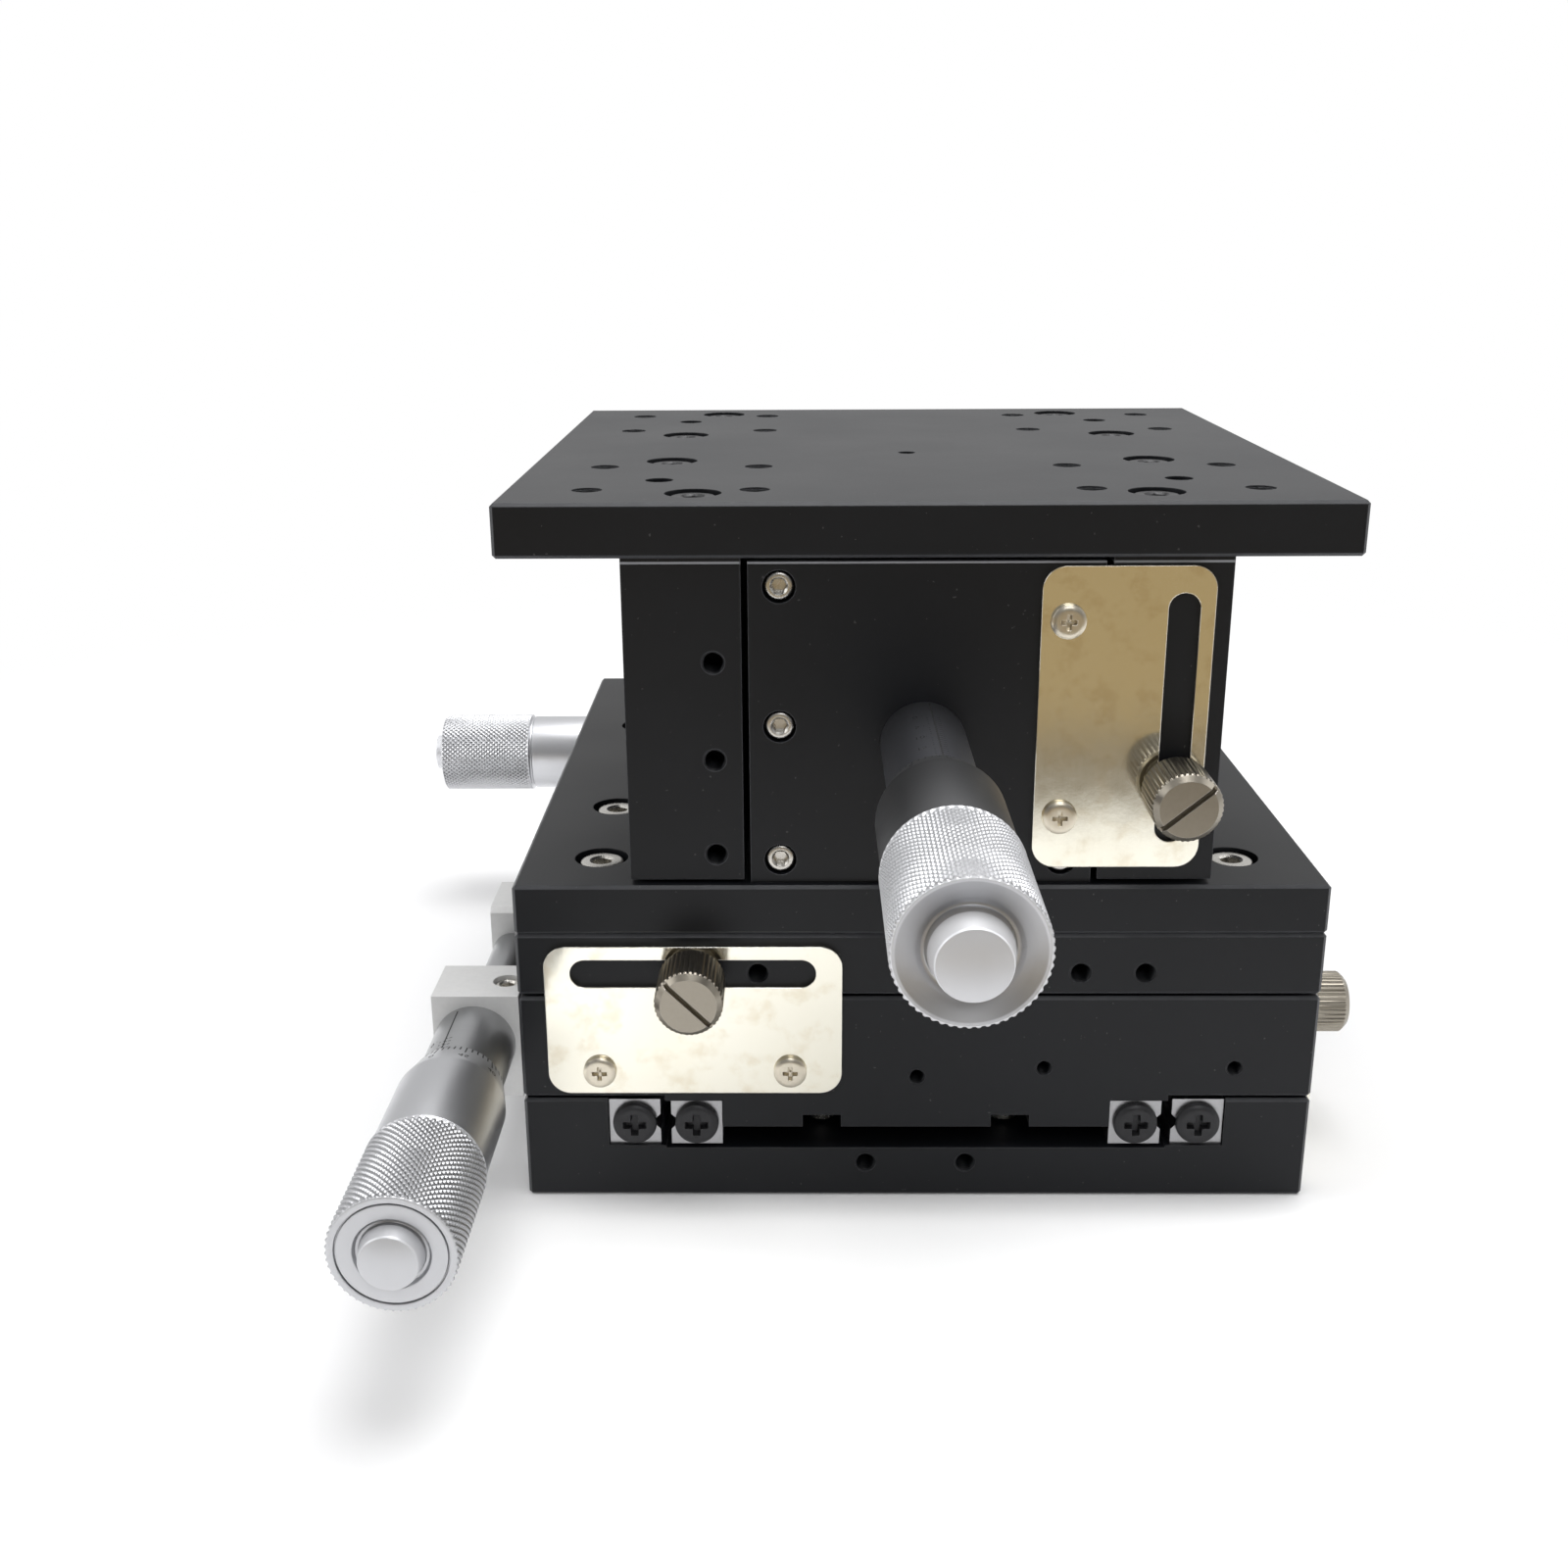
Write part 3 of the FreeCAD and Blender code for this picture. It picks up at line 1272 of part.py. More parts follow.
y_head = Head("y", (-screw_out, bracket_front, y_screw_z, BACK), anvil_y - bracket_front)
x_head = Head("x", (x_bracket_x, x_screw_out, x_screw_z, RIGHT), -cell("x_anvil_left") - x_bracket_x)
z_head = Head("z", (as_size(0), frame_front, z_screw_z, BACK), wedge_front - frame_front)
bracket_stem = cell("bracket_width")
for head, stem in ((y_head, bracket_stem), (x_head, bracket_stem), (z_head, cell("front_plate_thickness"))):
    keep(place(sleeve(head, stem), *head.seat), head.kind + "_sleeve")
    keep(place(thimble(head), *head.seat), head.kind + "_thimble")
    keep(place(spindle(head), *head.seat), head.kind + "_spindle")

# Clamps: own origin on the back of the plate at the middle of the slot, own Z out of the plate


def clamp_plate(label, x, y, z, turn):
    body = new_body(label)
    long_half = cell("clamp_length") / 2
    near = cell("clamp_slot_edge")
    far = near - cell("clamp_width")
    thick = cell("clamp_thickness")
    pad_outline(body, "XY_Plane", as_size(0), rectangle(-long_half, long_half, far, near), thick)

    def on_corner(edge):
        reach = (-long_half.number, long_half.number)
        return lies_on(edge, "x", reach) and lies_on(edge, "y", (far.number, near.number))

    soften(body, "Fillet", cell("clamp_corner"), on_corner)
    slot_wide = cell("clamp_slot_width") / 2
    slot_reach = cell("clamp_slot_length") / 2 - slot_wide
    slot = rectangle(-slot_reach, slot_reach, -slot_wide, slot_wide)
    cut_outline(body, "XY_Plane", as_size(0), slot, thick)
    for hand in (-1, 1):
        drill(body, "XY_Plane", as_size(0), [(slot_reach * hand, as_size(0))], slot_wide * 2, thick)
    holes = [(spot, -clamp_drop) for spot in clamp_spots]
    drill(body, "XY_Plane", as_size(0), holes, cell("clamp_screw_hole"), thick)
    return keep(place(body, x, y, z, turn), label)


def clamp_knob(label, x, y, z, turn):
    head = cell("knob_diameter") / 2
    shoulder = cell("knob_shoulder") / 2
    stud = cell("knob_stud") / 2
    start = cell("clamp_thickness")
    rear = start + cell("knob_shoulder_height")
    end = rear + cell("knob_length")
    points = [(as_size(0), -cell("knob_stud_length")), (stud, -cell("knob_stud_length")), (stud, start)]
    points += [(shoulder, start), (shoulder, rear), (head - cell("knob_rear_chamfer"), rear)]
    points += [(head, rear + cell("knob_rear_chamfer")), (head, end - cell("knob_chamfer"))]
    body = turned_body(label, points + [(head - cell("knob_chamfer"), end), (as_size(0), end)])
    wide = cell("knob_slot_width") / 2
    slot = rectangle(-head - over, head + over, -wide, wide)
    cut_outline(body, "XY_Plane", end, slot, cell("knob_slot_depth"), -1)
    return keep(place(body, x, y, z, turn), label)


SIDEWAYS = Rotation(Vector(0, 1, 0), Vector(0, 0, 1), Vector(1, 0, 0))
DOWNWARD = Rotation(Vector(0, 0, -1), Vector(1, 0, 0), Vector(0, -1, 0))
X_KNOB_TURN = 45
Z_KNOB_TURN = -40
clamp_plate("x_clamp_plate", x_clamp_x, -half, x_clamp_z, UPRIGHT)
clamp_plate("y_clamp_plate", half, y_clamp_y, y_clamp_z, SIDEWAYS)
clamp_plate("z_clamp_plate", z_clamp_x, frame_front, z_clamp_z, DOWNWARD)
x_turn = UPRIGHT * Rotation(Vector(0, 0, 1), -X_KNOB_TURN)
z_turn = UPRIGHT * Rotation(Vector(0, 0, 1), -Z_KNOB_TURN)
clamp_knob("x_clamp_knob", x_clamp_x, -half, x_clamp_z, x_turn)
clamp_knob("y_clamp_knob", half, y_clamp_y, y_clamp_z, RIGHT)
clamp_knob("z_clamp_knob", z_clamp_x, frame_front, z_clamp_z - cell("z_travel") / 2, z_turn)

# Return springs: own frame at the middle of one eye, long way along X, eyes about Z


def spring_body(label, length):
    body = new_body(label)
    thick = cell("spring_eye_thickness")
    radius = cell("spring_diameter") / 2
    start = cell("post_head") / 2 + cell("post_play")
    sketch = new_sketch(body, "YZ_Plane", start)
    draw_circles(sketch, [(as_size(0), as_size(0))], radius * 2)
    raise_pad(body, sketch, "YZ_Plane", length - start * 2, 1)
    neck = cell("spring_neck") / 2
    eye = (cell("spring_eye_hole") / 2 + radius) / 2
    for root, tip in ((start + neck, eye), (length - start - neck, length - eye)):
        pad_outline(body, "XY_Plane", as_size(0), rectangle(root, tip, -neck, neck), thick, 0)
    for middle in (as_size(0), length):
        sketch = new_sketch(body, "XY_Plane", as_size(0))
        draw_circles(sketch, [(middle, as_size(0))], radius * 2)
        draw_circles(sketch, [(middle, as_size(0))], cell("spring_eye_hole"))
        raise_pad(body, sketch, "XY_Plane", thick, 0)
    return body


flat_spring = spring_body("flat_spring", cell("spring_near_post") + cell("spring_far_post"))
lift_spring = spring_body("lift_spring", z_spring_high - z_spring_low)
STANDING = Rotation(Vector(0, 0, 1), Vector(0, 1, 0), Vector(-1, 0, 0))

y_parts = []
x_parts = []
z_parts = []
for hand in (-1, 1):
    beside = cell("spring_offset") * hand
    y_parts.append(copy_at(flat_spring, beside, -cell("spring_near_post"), lower.spring, QUARTER))
    y_parts.append(copy_at(spring_post, beside, cell("spring_far_post"), lower.lower_seat, UP))
    x_parts.append(copy_at(flat_spring, upper_fixed_post, beside, upper.spring, KEEP))
    x_parts.append(copy_at(spring_post, upper_fixed_post, beside, upper.lower_seat, UP))
    z_side = z_spring_side * hand
    z_parts.append(copy_at(lift_spring, z_side, cell("z_spring_place"), z_spring_low, STANDING))
    inward = LEFT if hand > 0 else RIGHT
    z_parts.append(copy_at(spring_post, z_post_seat * hand, cell("z_spring_place"), z_spring_low, inward))
group("y_springs", y_parts)
group("x_springs", x_parts)
group("z_springs", z_parts)

middle_posts = []
upper_posts = []
top_posts = []
for hand, outward in ((-1, LEFT), (1, RIGHT)):
    beside = cell("spring_offset") * hand
    middle_posts.append(copy_at(spring_post, beside, -cell("spring_near_post"), lower.upper_seat, DOWN))
    upper_posts.append(copy_at(spring_post, upper_moving_post, beside, upper.upper_seat, DOWN))
    z_side = z_top_seat * hand
    top_posts.append(copy_at(spring_post, z_side, cell("z_spring_place"), z_spring_high, outward))
group("middle_spring_posts", middle_posts)
group("upper_spring_posts", upper_posts)
group("top_spring_posts", top_posts)

# Fasteners in place


def fasten(master, places, height, turn):
    return [copy_at(master, x, y, height, turn) for x, y in places]


def end_screws(row_place, level, across, length=rail_length):
    copies = []
    for hand in (-1, 1):
        for end, front_turn, side_turn in ((-1, FRONT, LEFT), (1, BACK, RIGHT)):
            reach = length / 2 * end
            x, y = (reach, row_place * hand) if across else (row_place * hand, reach)
            copies.append(copy_at(end_screw, x, y, level, side_turn if across else front_turn))
    return copies


screws = fasten(cap, rows(screw_spots, outer_row, False), base_seat, DOWN)
level = cell("y_anvil_screw_height")
screws += [copy_at(cap, -half - anvil_seat, spot, level, LEFT) for spot in anvil_spots]
group("base_cap_screws", screws)
group("base_rail_end_screws", end_screws(outer_row, lower.middle, False))
clamp_front = half + cell("clamp_thickness")
level = y_clamp_z - clamp_drop
screws = [copy_at(pan, clamp_front, y_clamp_y + spot, level, RIGHT) for spot in clamp_spots]
group("y_clamp_plate_screws", screws)

screws = fasten(cap, rows(screw_spots, inner_row, False), down_seat, UP)
screws += fasten(cap, rows(screw_spots, outer_row, True), up_seat, DOWN)
group("middle_cap_screws", screws)
screws = end_screws(inner_row, lower.middle, False) + end_screws(outer_row, upper.middle, True)
group("middle_rail_end_screws", screws)
level = x_clamp_z - clamp_drop
screws = [copy_at(pan, x_clamp_x + spot, -clamp_front, level, FRONT) for spot in clamp_spots]
group("x_clamp_plate_screws", screws)
seat_out = bracket_out - cell("small_seat_depth")
x_seat_out = x_bracket_out - cell("small_seat_depth")
screws = [copy_at(small_screw, -seat_out, spot, y_bracket_screw_z, LEFT) for spot in bracket_spots]
screws += [copy_at(small_screw, spot, x_seat_out, x_bracket_screw_z, BACK) for spot in x_bracket_spots]
level = middle_top - cell("small_seat_depth")
screws.append(copy_at(pinch_screw, -half - cell("pinch_offset"), bracket_middle, level, UP))
level = middle_bottom + cell("x_bracket_rise") + cell("x_bracket_height") - cell("small_seat_depth")
screws.append(copy_at(pinch_screw, x_bracket_middle, x_bracket_out - cell("pinch_offset"), level, UP))
group("bracket_screws", screws)

screws = fasten(cap, rows(upper_spots, inner_row, True), upper_seat, UP)
screws += [copy_at(small_screw, spot, seat_out, x_anvil_screw_z, BACK) for spot in x_anvil_spots]
group("upper_cap_screws", screws)
group("upper_rail_end_screws", end_screws(inner_row, upper.middle, True, upper_rail_length))
screws = fasten(large_screw, cap_places(), z_base_top - cell("large_seat_depth"), UP)
screws += fasten(large_screw, frame_screw_places(), frame_screw_seat, DOWN)
group("z_base_plate_screws", screws)
seat_y = frame_front + cell("small_seat_depth")
group("z_front_plate_screws", [copy_at(small_screw, x, seat_y, z, FRONT) for x, z in front_screw_places])
clamp_side = z_clamp_x - clamp_drop
clamp_front = frame_front - cell("clamp_thickness")
screws = [copy_at(pan, clamp_side, clamp_front, z_clamp_z + spot, FRONT) for spot in clamp_spots]
group("z_clamp_plate_screws", screws)
caps = column_cap_places(-1) + column_cap_places(1)
screws = fasten(large_screw, caps, top_top - cell("large_seat_depth"), UP)
screws += fasten(cap, flange_screw_places, flange_bottom, DOWN)
group("top_plate_screws", screws)

# Everything must be sound before anything is written

doc.recompute()
for item in doc.Objects:
    if "Invalid" in item.State or "Error" in item.State:
        raise RuntimeError("%s could not be built" % item.Label)
os.makedirs("parts", exist_ok=True)
for label, item in nodes.items():
    if item.Shape.isNull() or not item.Shape.isValid():
        raise RuntimeError("%s is not a sound solid" % label)
for label, item in nodes.items():
    item.Shape.exportStep("parts/%s.step" % label)
print(len(nodes), "pieces written")
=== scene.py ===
"""Looks of a three-axis micrometer stage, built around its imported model."""

import functools
import json
import math

import bpy
import numpy as np
from bpy.props import FloatProperty, FloatVectorProperty, IntProperty, PointerProperty
from mathutils import Matrix, Vector


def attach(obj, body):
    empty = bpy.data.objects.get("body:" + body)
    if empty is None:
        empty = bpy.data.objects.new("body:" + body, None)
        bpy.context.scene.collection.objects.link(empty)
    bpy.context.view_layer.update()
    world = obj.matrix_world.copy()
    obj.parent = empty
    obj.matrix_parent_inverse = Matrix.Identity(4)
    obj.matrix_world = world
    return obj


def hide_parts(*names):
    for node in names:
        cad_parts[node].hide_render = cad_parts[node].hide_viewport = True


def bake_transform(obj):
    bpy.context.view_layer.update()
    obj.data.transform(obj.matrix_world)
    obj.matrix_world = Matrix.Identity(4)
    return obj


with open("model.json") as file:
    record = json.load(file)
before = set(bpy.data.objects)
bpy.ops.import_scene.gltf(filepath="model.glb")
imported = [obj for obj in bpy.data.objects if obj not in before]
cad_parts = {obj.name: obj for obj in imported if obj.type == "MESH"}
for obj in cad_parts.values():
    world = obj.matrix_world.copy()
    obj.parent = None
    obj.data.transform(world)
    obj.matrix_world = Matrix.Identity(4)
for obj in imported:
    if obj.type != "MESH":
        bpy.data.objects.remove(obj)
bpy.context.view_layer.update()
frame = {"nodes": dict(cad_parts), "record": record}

bl_info = {
    "name": "Micrometer stage looks",
    "version": (1, 0, 0),
    "blender": (4, 5, 0),
    "location": "3D View > Sidebar > Stage",
    "description": "Finishes and fine detail of a three-axis micrometer stage",
    "category": "Object",
}

MM = 0.001
TURN = 2 * math.pi
BODY_OF = {node: body for body, nodes in frame["record"]["behaviour"]["bodies"].items() for node in nodes}

SPRINGS = ("y_springs", "x_springs", "z_springs")
POSTS = ("middle_spring_posts", "upper_spring_posts", "top_spring_posts")

# Each finish and the CAD nodes that have it.

FINISHES = {
    "cut plates": ("base_plate", "middle_plate", "upper_plate", "z_base_plate", "top_plate"),
    "uprights": ("z_frame_block", "z_front_plate", "left_column", "right_column"),
    "rail": ("lower_outer_rails", "lower_inner_rails", "upper_outer_rails", "upper_inner_rails",
             "z_inner_rails", "z_outer_rails", "follower_bracket", "wedge"),
    "roller": ("lower_roller_cages", "upper_roller_cages", "z_roller_cages", "follower_roller", "roller_pin"),
    "block": ("y_micrometer_bracket", "x_micrometer_bracket", "y_anvil_block", "x_anvil_block"),
    "nickel": ("x_clamp_plate", "y_clamp_plate", "z_clamp_plate"),
    "knob": ("x_clamp_knob", "y_clamp_knob", "z_clamp_knob"),
    "screw": POSTS,
    "sleeve x": ("x_sleeve", "x_spindle"),
    "sleeve y": ("y_sleeve", "y_spindle", "z_spindle"),
    "sleeve z": ("z_sleeve",),
}

# Screws: kind of head, finish, and the CAD nodes whose screws are made anew.

SCREWS = (
    ("socket", "screw", ("base_cap_screws", "middle_cap_screws", "upper_cap_screws", "z_base_plate_screws",
                         "z_front_plate_screws")),
    ("socket", "black screw", ("top_plate_screws",)),
    ("socket", "screw", ("bracket_screws",)),
    ("pan", "pan screw", ("x_clamp_plate_screws", "y_clamp_plate_screws", "z_clamp_plate_screws")),
    ("end", "black screw", ("base_rail_end_screws", "middle_rail_end_screws", "upper_rail_end_screws")),
)

# Width across flats of a socket by the head's whole diameter, and for each crossed head its share of
# the CAD head's height and the half length and half width of its cross, in millimetres.

SOCKET_WIDTHS = {7: 3.0, 5: 2.5, 4: 2.0}
CROSSES = {"pan": (0.66, 1.15, 0.34), "end": (1.0, 1.85, 0.6)}
LARGE_SHANK = 1.9
LARGE_PITCH, SMALL_PITCH, SMALL_HOLE_PITCH = 0.7, 0.45, 0.5

# Micrometer heads: a point on the axis and the way to the tip. Along it, from the frame's origin, the
# sleeve's root (seat), the thimble's front edge, end of bevel, start and end of knurl and tip
# (places), and the scale's zero. Radii of the thimble's edge, smooth part and knurl, of the button's
# root and tip, and of the end face's groove, if any. The side is the angle at which the scale sits.

HEADS = {
    "y": dict(axis=((-69.7, 0, 27.1), (0, -1, 0)), seat=62.1, places=(76.6, 82.6, 100.2, 120.0, 122.6),
              radii=(6.9, 8.2, 8.545), button=(4.3, 3.9), groove=7.35, zero=72.0, side=0.35),
    "x": dict(axis=((0, 71.2, 33.95), (-1, 0, 0)), seat=41.9, places=(56.4, 62.4, 80.0, 99.8, 102.4),
              radii=(6.9, 8.2, 8.545), button=(4.3, 3.9), groove=7.35, zero=51.8, side=0.6),
    "z": dict(axis=((0, 0, 76.1), (0, -1, 0)), seat=61.07, places=(90.1, 96.1, 115.3, 137.7, 141.4),
              radii=(7.2, 8.6, 8.945), button=(5.0, 4.3), groove=0, zero=68.5, side=-0.12),
}
SLEEVE_RADIUS = 6.4

# Scales: how many marks, how wide they and the sleeve's index line are, and the sizes of the numbers.

THIMBLE_MARKS, SLEEVE_MARKS = 50, 25
THIMBLE_MARK_WIDTH, SLEEVE_MARK_WIDTH, INDEX_WIDTH = 0.22, 0.18, 0.24
THIMBLE_NUMBER, SLEEVE_NUMBER = 1.75, 1.6
INK_LIFT, INK_DEPTH = 0.012, 0.08

# Clamp knobs: a point on the axis at the back of the head and the way the head points, and the
# places and radii of the ribbed band around a head.

KNOB_HEADS = {
    "x": ((-35, -65.1, 39.6), (0, -1, 0)),
    "y": ((65.1, -36.1, 21.9), (1, 0, 0)),
    "z": ((37.3, -63.67, 69.8), (0, -1, 0)),
}
KNOB_RADIUS = 5.0
KNOB_BAND = ((0.45, 4.7), (0.45, 4.98), (0.75, 5.0), (4.9, 5.0), (8.8, 5.0), (9.05, 4.98), (9.05, 4.7),
             (4.9, 4.7))

# Open tapped holes that show: node, mouth of the hole, direction into the plate, radius, depth.

TOP_GRID = (-50, -25, 25, 50)
OPEN_HOLES = (
    [("top_plate", (x, y, 111.9), (0, 0, -1), 2.0, 7.6) for x in TOP_GRID for y in TOP_GRID]
    + [("base_plate", (x, -62.5, 6.0), (0, 1, 0), 1.7, 5.0) for x in (-8, 8)]
    + [("middle_plate", (x, -62.5, z), (0, 1, 0), 1.35, 5.0) for x, z in ((20, 22.9), (50, 22.9), (0, 21.4))]
    + [("upper_plate", (x, -62.5, 39.3), (0, 1, 0), 1.75, 5.0) for x in (-25, 25, 35)]
    + [("left_column", (-31.1, -61.07, z), (0, 1, 0), 1.75, 5.0) for z in (58.5, 73.5, 88.5)]
)

# Return springs: half their width, half their wire's thickness and the radius of an eye's middle. A
# solid of a spring node that is shorter than the longest post is a post.

SPRING_RADIUS = 2.3
SPRING_WIRE = 0.35
SPRING_EYE = SPRING_RADIUS - SPRING_WIRE
LONGEST_POST = 20

# Where the plates' sides begin, the top of the centre frame, and the width of the painted
# highlight line below it.

PLATE_SIDE = 61.9
FRAME_TOP = 103.5
HIGHLIGHT_LINE_WIDTH = 0.34

# Lamps (place, size, watts), the floor's half width and the camera, in metres and radians.

LAMPS = {
    "overhead softbox": ((0.05, 0.05, 0.95), 0.65, 6.6),
    "left softbox": ((-0.95, -0.20, 0.60), 0.7, 2.6),
    "front softbox": ((0.15, -1.00, 0.85), 0.5, 2.1),
    "right softbox": ((0.95, 0.00, 0.65), 0.6, 1.6),
}
LAMP_AIM = Vector((0, 0, 0.05))
FLOOR_REACH = 4.0
CAMERA_PLACE = Vector((-0.01792, -0.30370, 0.15010))
CAMERA_YAW, CAMERA_PITCH, CAMERA_ROLL = -0.011683, 0.319750, -0.005641
CAMERA_LENS = 39.065


class StageLooks(bpy.types.PropertyGroup):
    """Colours and fine sizes that a user would change."""

    plate_colour: FloatVectorProperty(
        name="Plate colour", description="Black plates", subtype="COLOR", default=(0.0078, 0.0086, 0.0108))
    plate_roughness: FloatProperty(
        name="Plate roughness", description="Satin of the anodised plates", default=0.38, min=0, max=1)
    nickel_colour: FloatVectorProperty(
        name="Nickel colour", description="Clamp plates", subtype="COLOR", default=(0.97, 0.925, 0.77))
    knob_colour: FloatVectorProperty(
        name="Knob colour", description="Clamp knobs", subtype="COLOR", default=(0.335, 0.305, 0.255))
    chrome_colour: FloatVectorProperty(
        name="Chrome colour", description="Thimbles", subtype="COLOR", default=(0.62, 0.625, 0.645))
    sleeve_colour: FloatVectorProperty(
        name="Sleeve colour", description="Sleeves", subtype="COLOR", default=(0.42, 0.425, 0.435))
    screw_colour: FloatVectorProperty(
        name="Screw colour", description="Stainless cap screws", subtype="COLOR", default=(0.66, 0.64, 0.60))
    block_colour: FloatVectorProperty(
        name="Block colour", description="Brackets and anvils", subtype="COLOR", default=(0.69, 0.69, 0.685))
    knurl_depth: FloatProperty(
        name="Knurl depth", description="Depth of the diamond knurl", unit="LENGTH", default=0.32 * MM)
    knurl_count: IntProperty(
        name="Knurl count", description="Diamonds around a thimble", default=54, min=12)
    knurl_pitch: FloatProperty(
        name="Knurl pitch", description="Length of one diamond", unit="LENGTH", default=1.15 * MM)
    rib_count: IntProperty(
        name="Rib count", description="Ribs around a clamp knob", default=40, min=12)
    rib_depth: FloatProperty(
        name="Rib depth", description="Height of the ribs of a clamp knob", unit="LENGTH", default=0.2 * MM)


def looks():
    """The values that a user may change."""
    return bpy.context.scene.stage_looks


# Surfaces worked out on a grid, in millimetres


def joined(parts):
    """Several sets of points and faces as one."""
    points, *faces = zip(*parts)
    shift = np.cumsum([0] + [len(rows) for rows in points[:-1]])
    quads, triangles = [np.vstack([rows + step for rows, step in zip(kind, shift)]) for kind in faces]
    return np.vstack(points), quads, triangles


def make_piece(node, ending, parts, finish, sharp=30, rides=True):
    """One mesh object at the origin, named after a CAD node, with one finish and, where it rides,
    the node's body, its faces outward.

    The faces are turned over when the volume they enclose, the sum of a . (b x c) / 6 over their
    triangles, comes out negative.
    """
    points, quads, triangles = joined(parts)
    points = points * MM
    a, b, c = points[np.vstack([quads[:, [0, 1, 2]], quads[:, [0, 2, 3]], triangles])].transpose(1, 0, 2)
    if np.einsum("ij,ij->", a, np.cross(b, c)) < 0:
        quads, triangles = quads[:, ::-1], triangles[:, ::-1]
    corners = np.concatenate([quads.ravel(), triangles.ravel()])
    starts = np.concatenate([4 * np.arange(len(quads)), 4 * len(quads) + 3 * np.arange(len(triangles))])
    mesh = bpy.data.meshes.new(node + ending)
    for rows, key, values in ((mesh.vertices, "co", points), (mesh.loops, "vertex_index", corners),
                              (mesh.polygons, "loop_start", starts)):
        rows.add(len(values))
        rows.foreach_set(key, values.ravel())
    mesh.update(calc_edges=True)
    mesh.validate()
    mesh.shade_smooth()
    mesh.set_sharp_from_angle(angle=math.radians(sharp))
    mesh.materials.append(material(finish))
    piece = bpy.data.objects.new(node + ending, mesh)
    bpy.context.scene.collection.objects.link(piece)
    if rides:
        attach(piece, BODY_OF[node])
    return piece


def placed(points, origin, direction):
    """Points of a piece's own axes, moved to the frame: origin + x first + y second + z direction.

    The direction is one of the frame's axes. First is the frame's Z, or X where the direction is Z,
    and second is square to both.
    """
    along = np.array(direction, float)
    first = np.array((1, 0, 0) if abs(along[2]) > 0.5 else (0, 0, 1), float)
    return np.asarray(points) @ np.array([first, np.cross(along, first), along]) + np.array(origin)


def polar(radius, angle, place):
    """Points at a radius and an angle about the axis, at a place along it."""
    return np.stack([radius * np.cos(angle), radius * np.sin(angle), place + 0 * angle], axis=-1)


def straight(low, high, rows, radius):
    """A profile of one radius, as rows of (place, radius)."""
    return np.stack([np.linspace(low, high, rows), np.full(rows, radius)], axis=1)


def turned_grid(profile, steps, shape=None):
    """Rings of a turned surface whose profile is rows of (place, radius), in the piece's own axes.

    point(i, a) = (r cos a, r sin a, place(i)), where r is the profile's radius, or what shape makes
    of it for that angle and place.
    """
    profile = np.array(profile, float)
    angle = np.arange(steps)[None, :] * (TURN / steps)
    place, radius = profile[:, :1] + 0 * angle, profile[:, 1:] + 0 * angle
    if shape:
        radius = shape(radius, angle, place)
    return polar(radius, angle, place)


def closed_shell(rings, poles):
    """Points and faces of a stack of rings closed by a pole at either end."""
    rows, steps = rings.shape[:2]
    ring = np.arange(steps)
    after = (ring + 1) % steps
    start = 1 + steps * np.arange(rows - 1)[:, None]
    last = 1 + steps * (rows - 1)
    quads = np.stack([start + ring, start + after, start + steps + after, start + steps + ring], axis=-1)
    first_fan = np.stack([0 * ring, 1 + after, 1 + ring], axis=-1)
    last_fan = np.stack([last + ring, last + after, 0 * ring + last + steps], axis=-1)
    points = np.vstack([poles[:1], rings.reshape(-1, 3), poles[1:]])
    return points, quads.reshape(-1, 4), np.vstack([first_fan, last_fan])


def closed_band(rings):
    """Points and faces of a loop of rings whose last ring meets its first."""
    rows, steps = rings.shape[:2]
    row, ring = steps * np.arange(rows)[:, None], np.arange(steps)
    next_row, after = (row + steps) % (rows * steps), (ring + 1) % steps
    quads = np.stack([row + ring, row + after, next_row + after, next_row + ring], axis=-1)
    return rings.reshape(-1, 3), quads.reshape(-1, 4), np.empty((0, 3), int)


def turned_shell(grid, low, high, origin, direction):
    """A turned surface moved to the frame and closed by poles at two places on its axis."""
    poles = placed([[0, 0, low], [0, 0, high]], origin, direction)
    return closed_shell(placed(grid, origin, direction), poles)


def softened(profile, reach, steps=3):
    """Rounds the corners of a profile of (place, radius).

    Each corner c becomes the curve (1-t)^2 a + 2t(1-t) c + t^2 b, where a and b lie on its two
    sides, at most a given reach away.
    """
    points = np.array(profile, float)
    blend = np.linspace(0, 1, steps + 1)[:, None]
    curve = [points[:1]]
    for before, corner, after in zip(points[:-2], points[1:-1], points[2:]):
        a, b = [corner + (end - corner) * min(reach / max(np.linalg.norm(end - corner), 1e-9), 0.45)
                for end in (before, after)]
        curve.append((1 - blend) ** 2 * a + 2 * blend * (1 - blend) * corner + blend ** 2 * b)
    return np.vstack(curve + [points[-1:]])


def ridged(t):
    """1 in the middle of each whole step of t and 0 at its ends: 1 - |2 (t mod 1) - 1|."""
    return 1 - np.abs(2 * (t % 1) - 1)


def hexagon(angle, across):
    """Distance to the side of a hexagon: half its width across flats over the cosine of the angle
    from the middle of the nearest side."""
    return across / 2 / np.cos((angle + TURN / 12) % (TURN / 6) - TURN / 12)


def cross_outline(angle, length, half_width):
    """Distance to the outline of two crossed bars, the further of the two bars' outlines."""
    c, s = np.abs(np.cos(angle)) + 1e-9, np.abs(np.sin(angle)) + 1e-9
    return np.maximum(np.minimum(length / c, half_width / s), np.minimum(half_width / c, length / s))


def read(rows, key, width, kind):
    """One property of all rows of a mesh, of a given number of values each, in threes."""
    values = np.empty(len(rows) * width, kind)
    rows.foreach_get(key, values)
    return values.reshape(-1, 3)


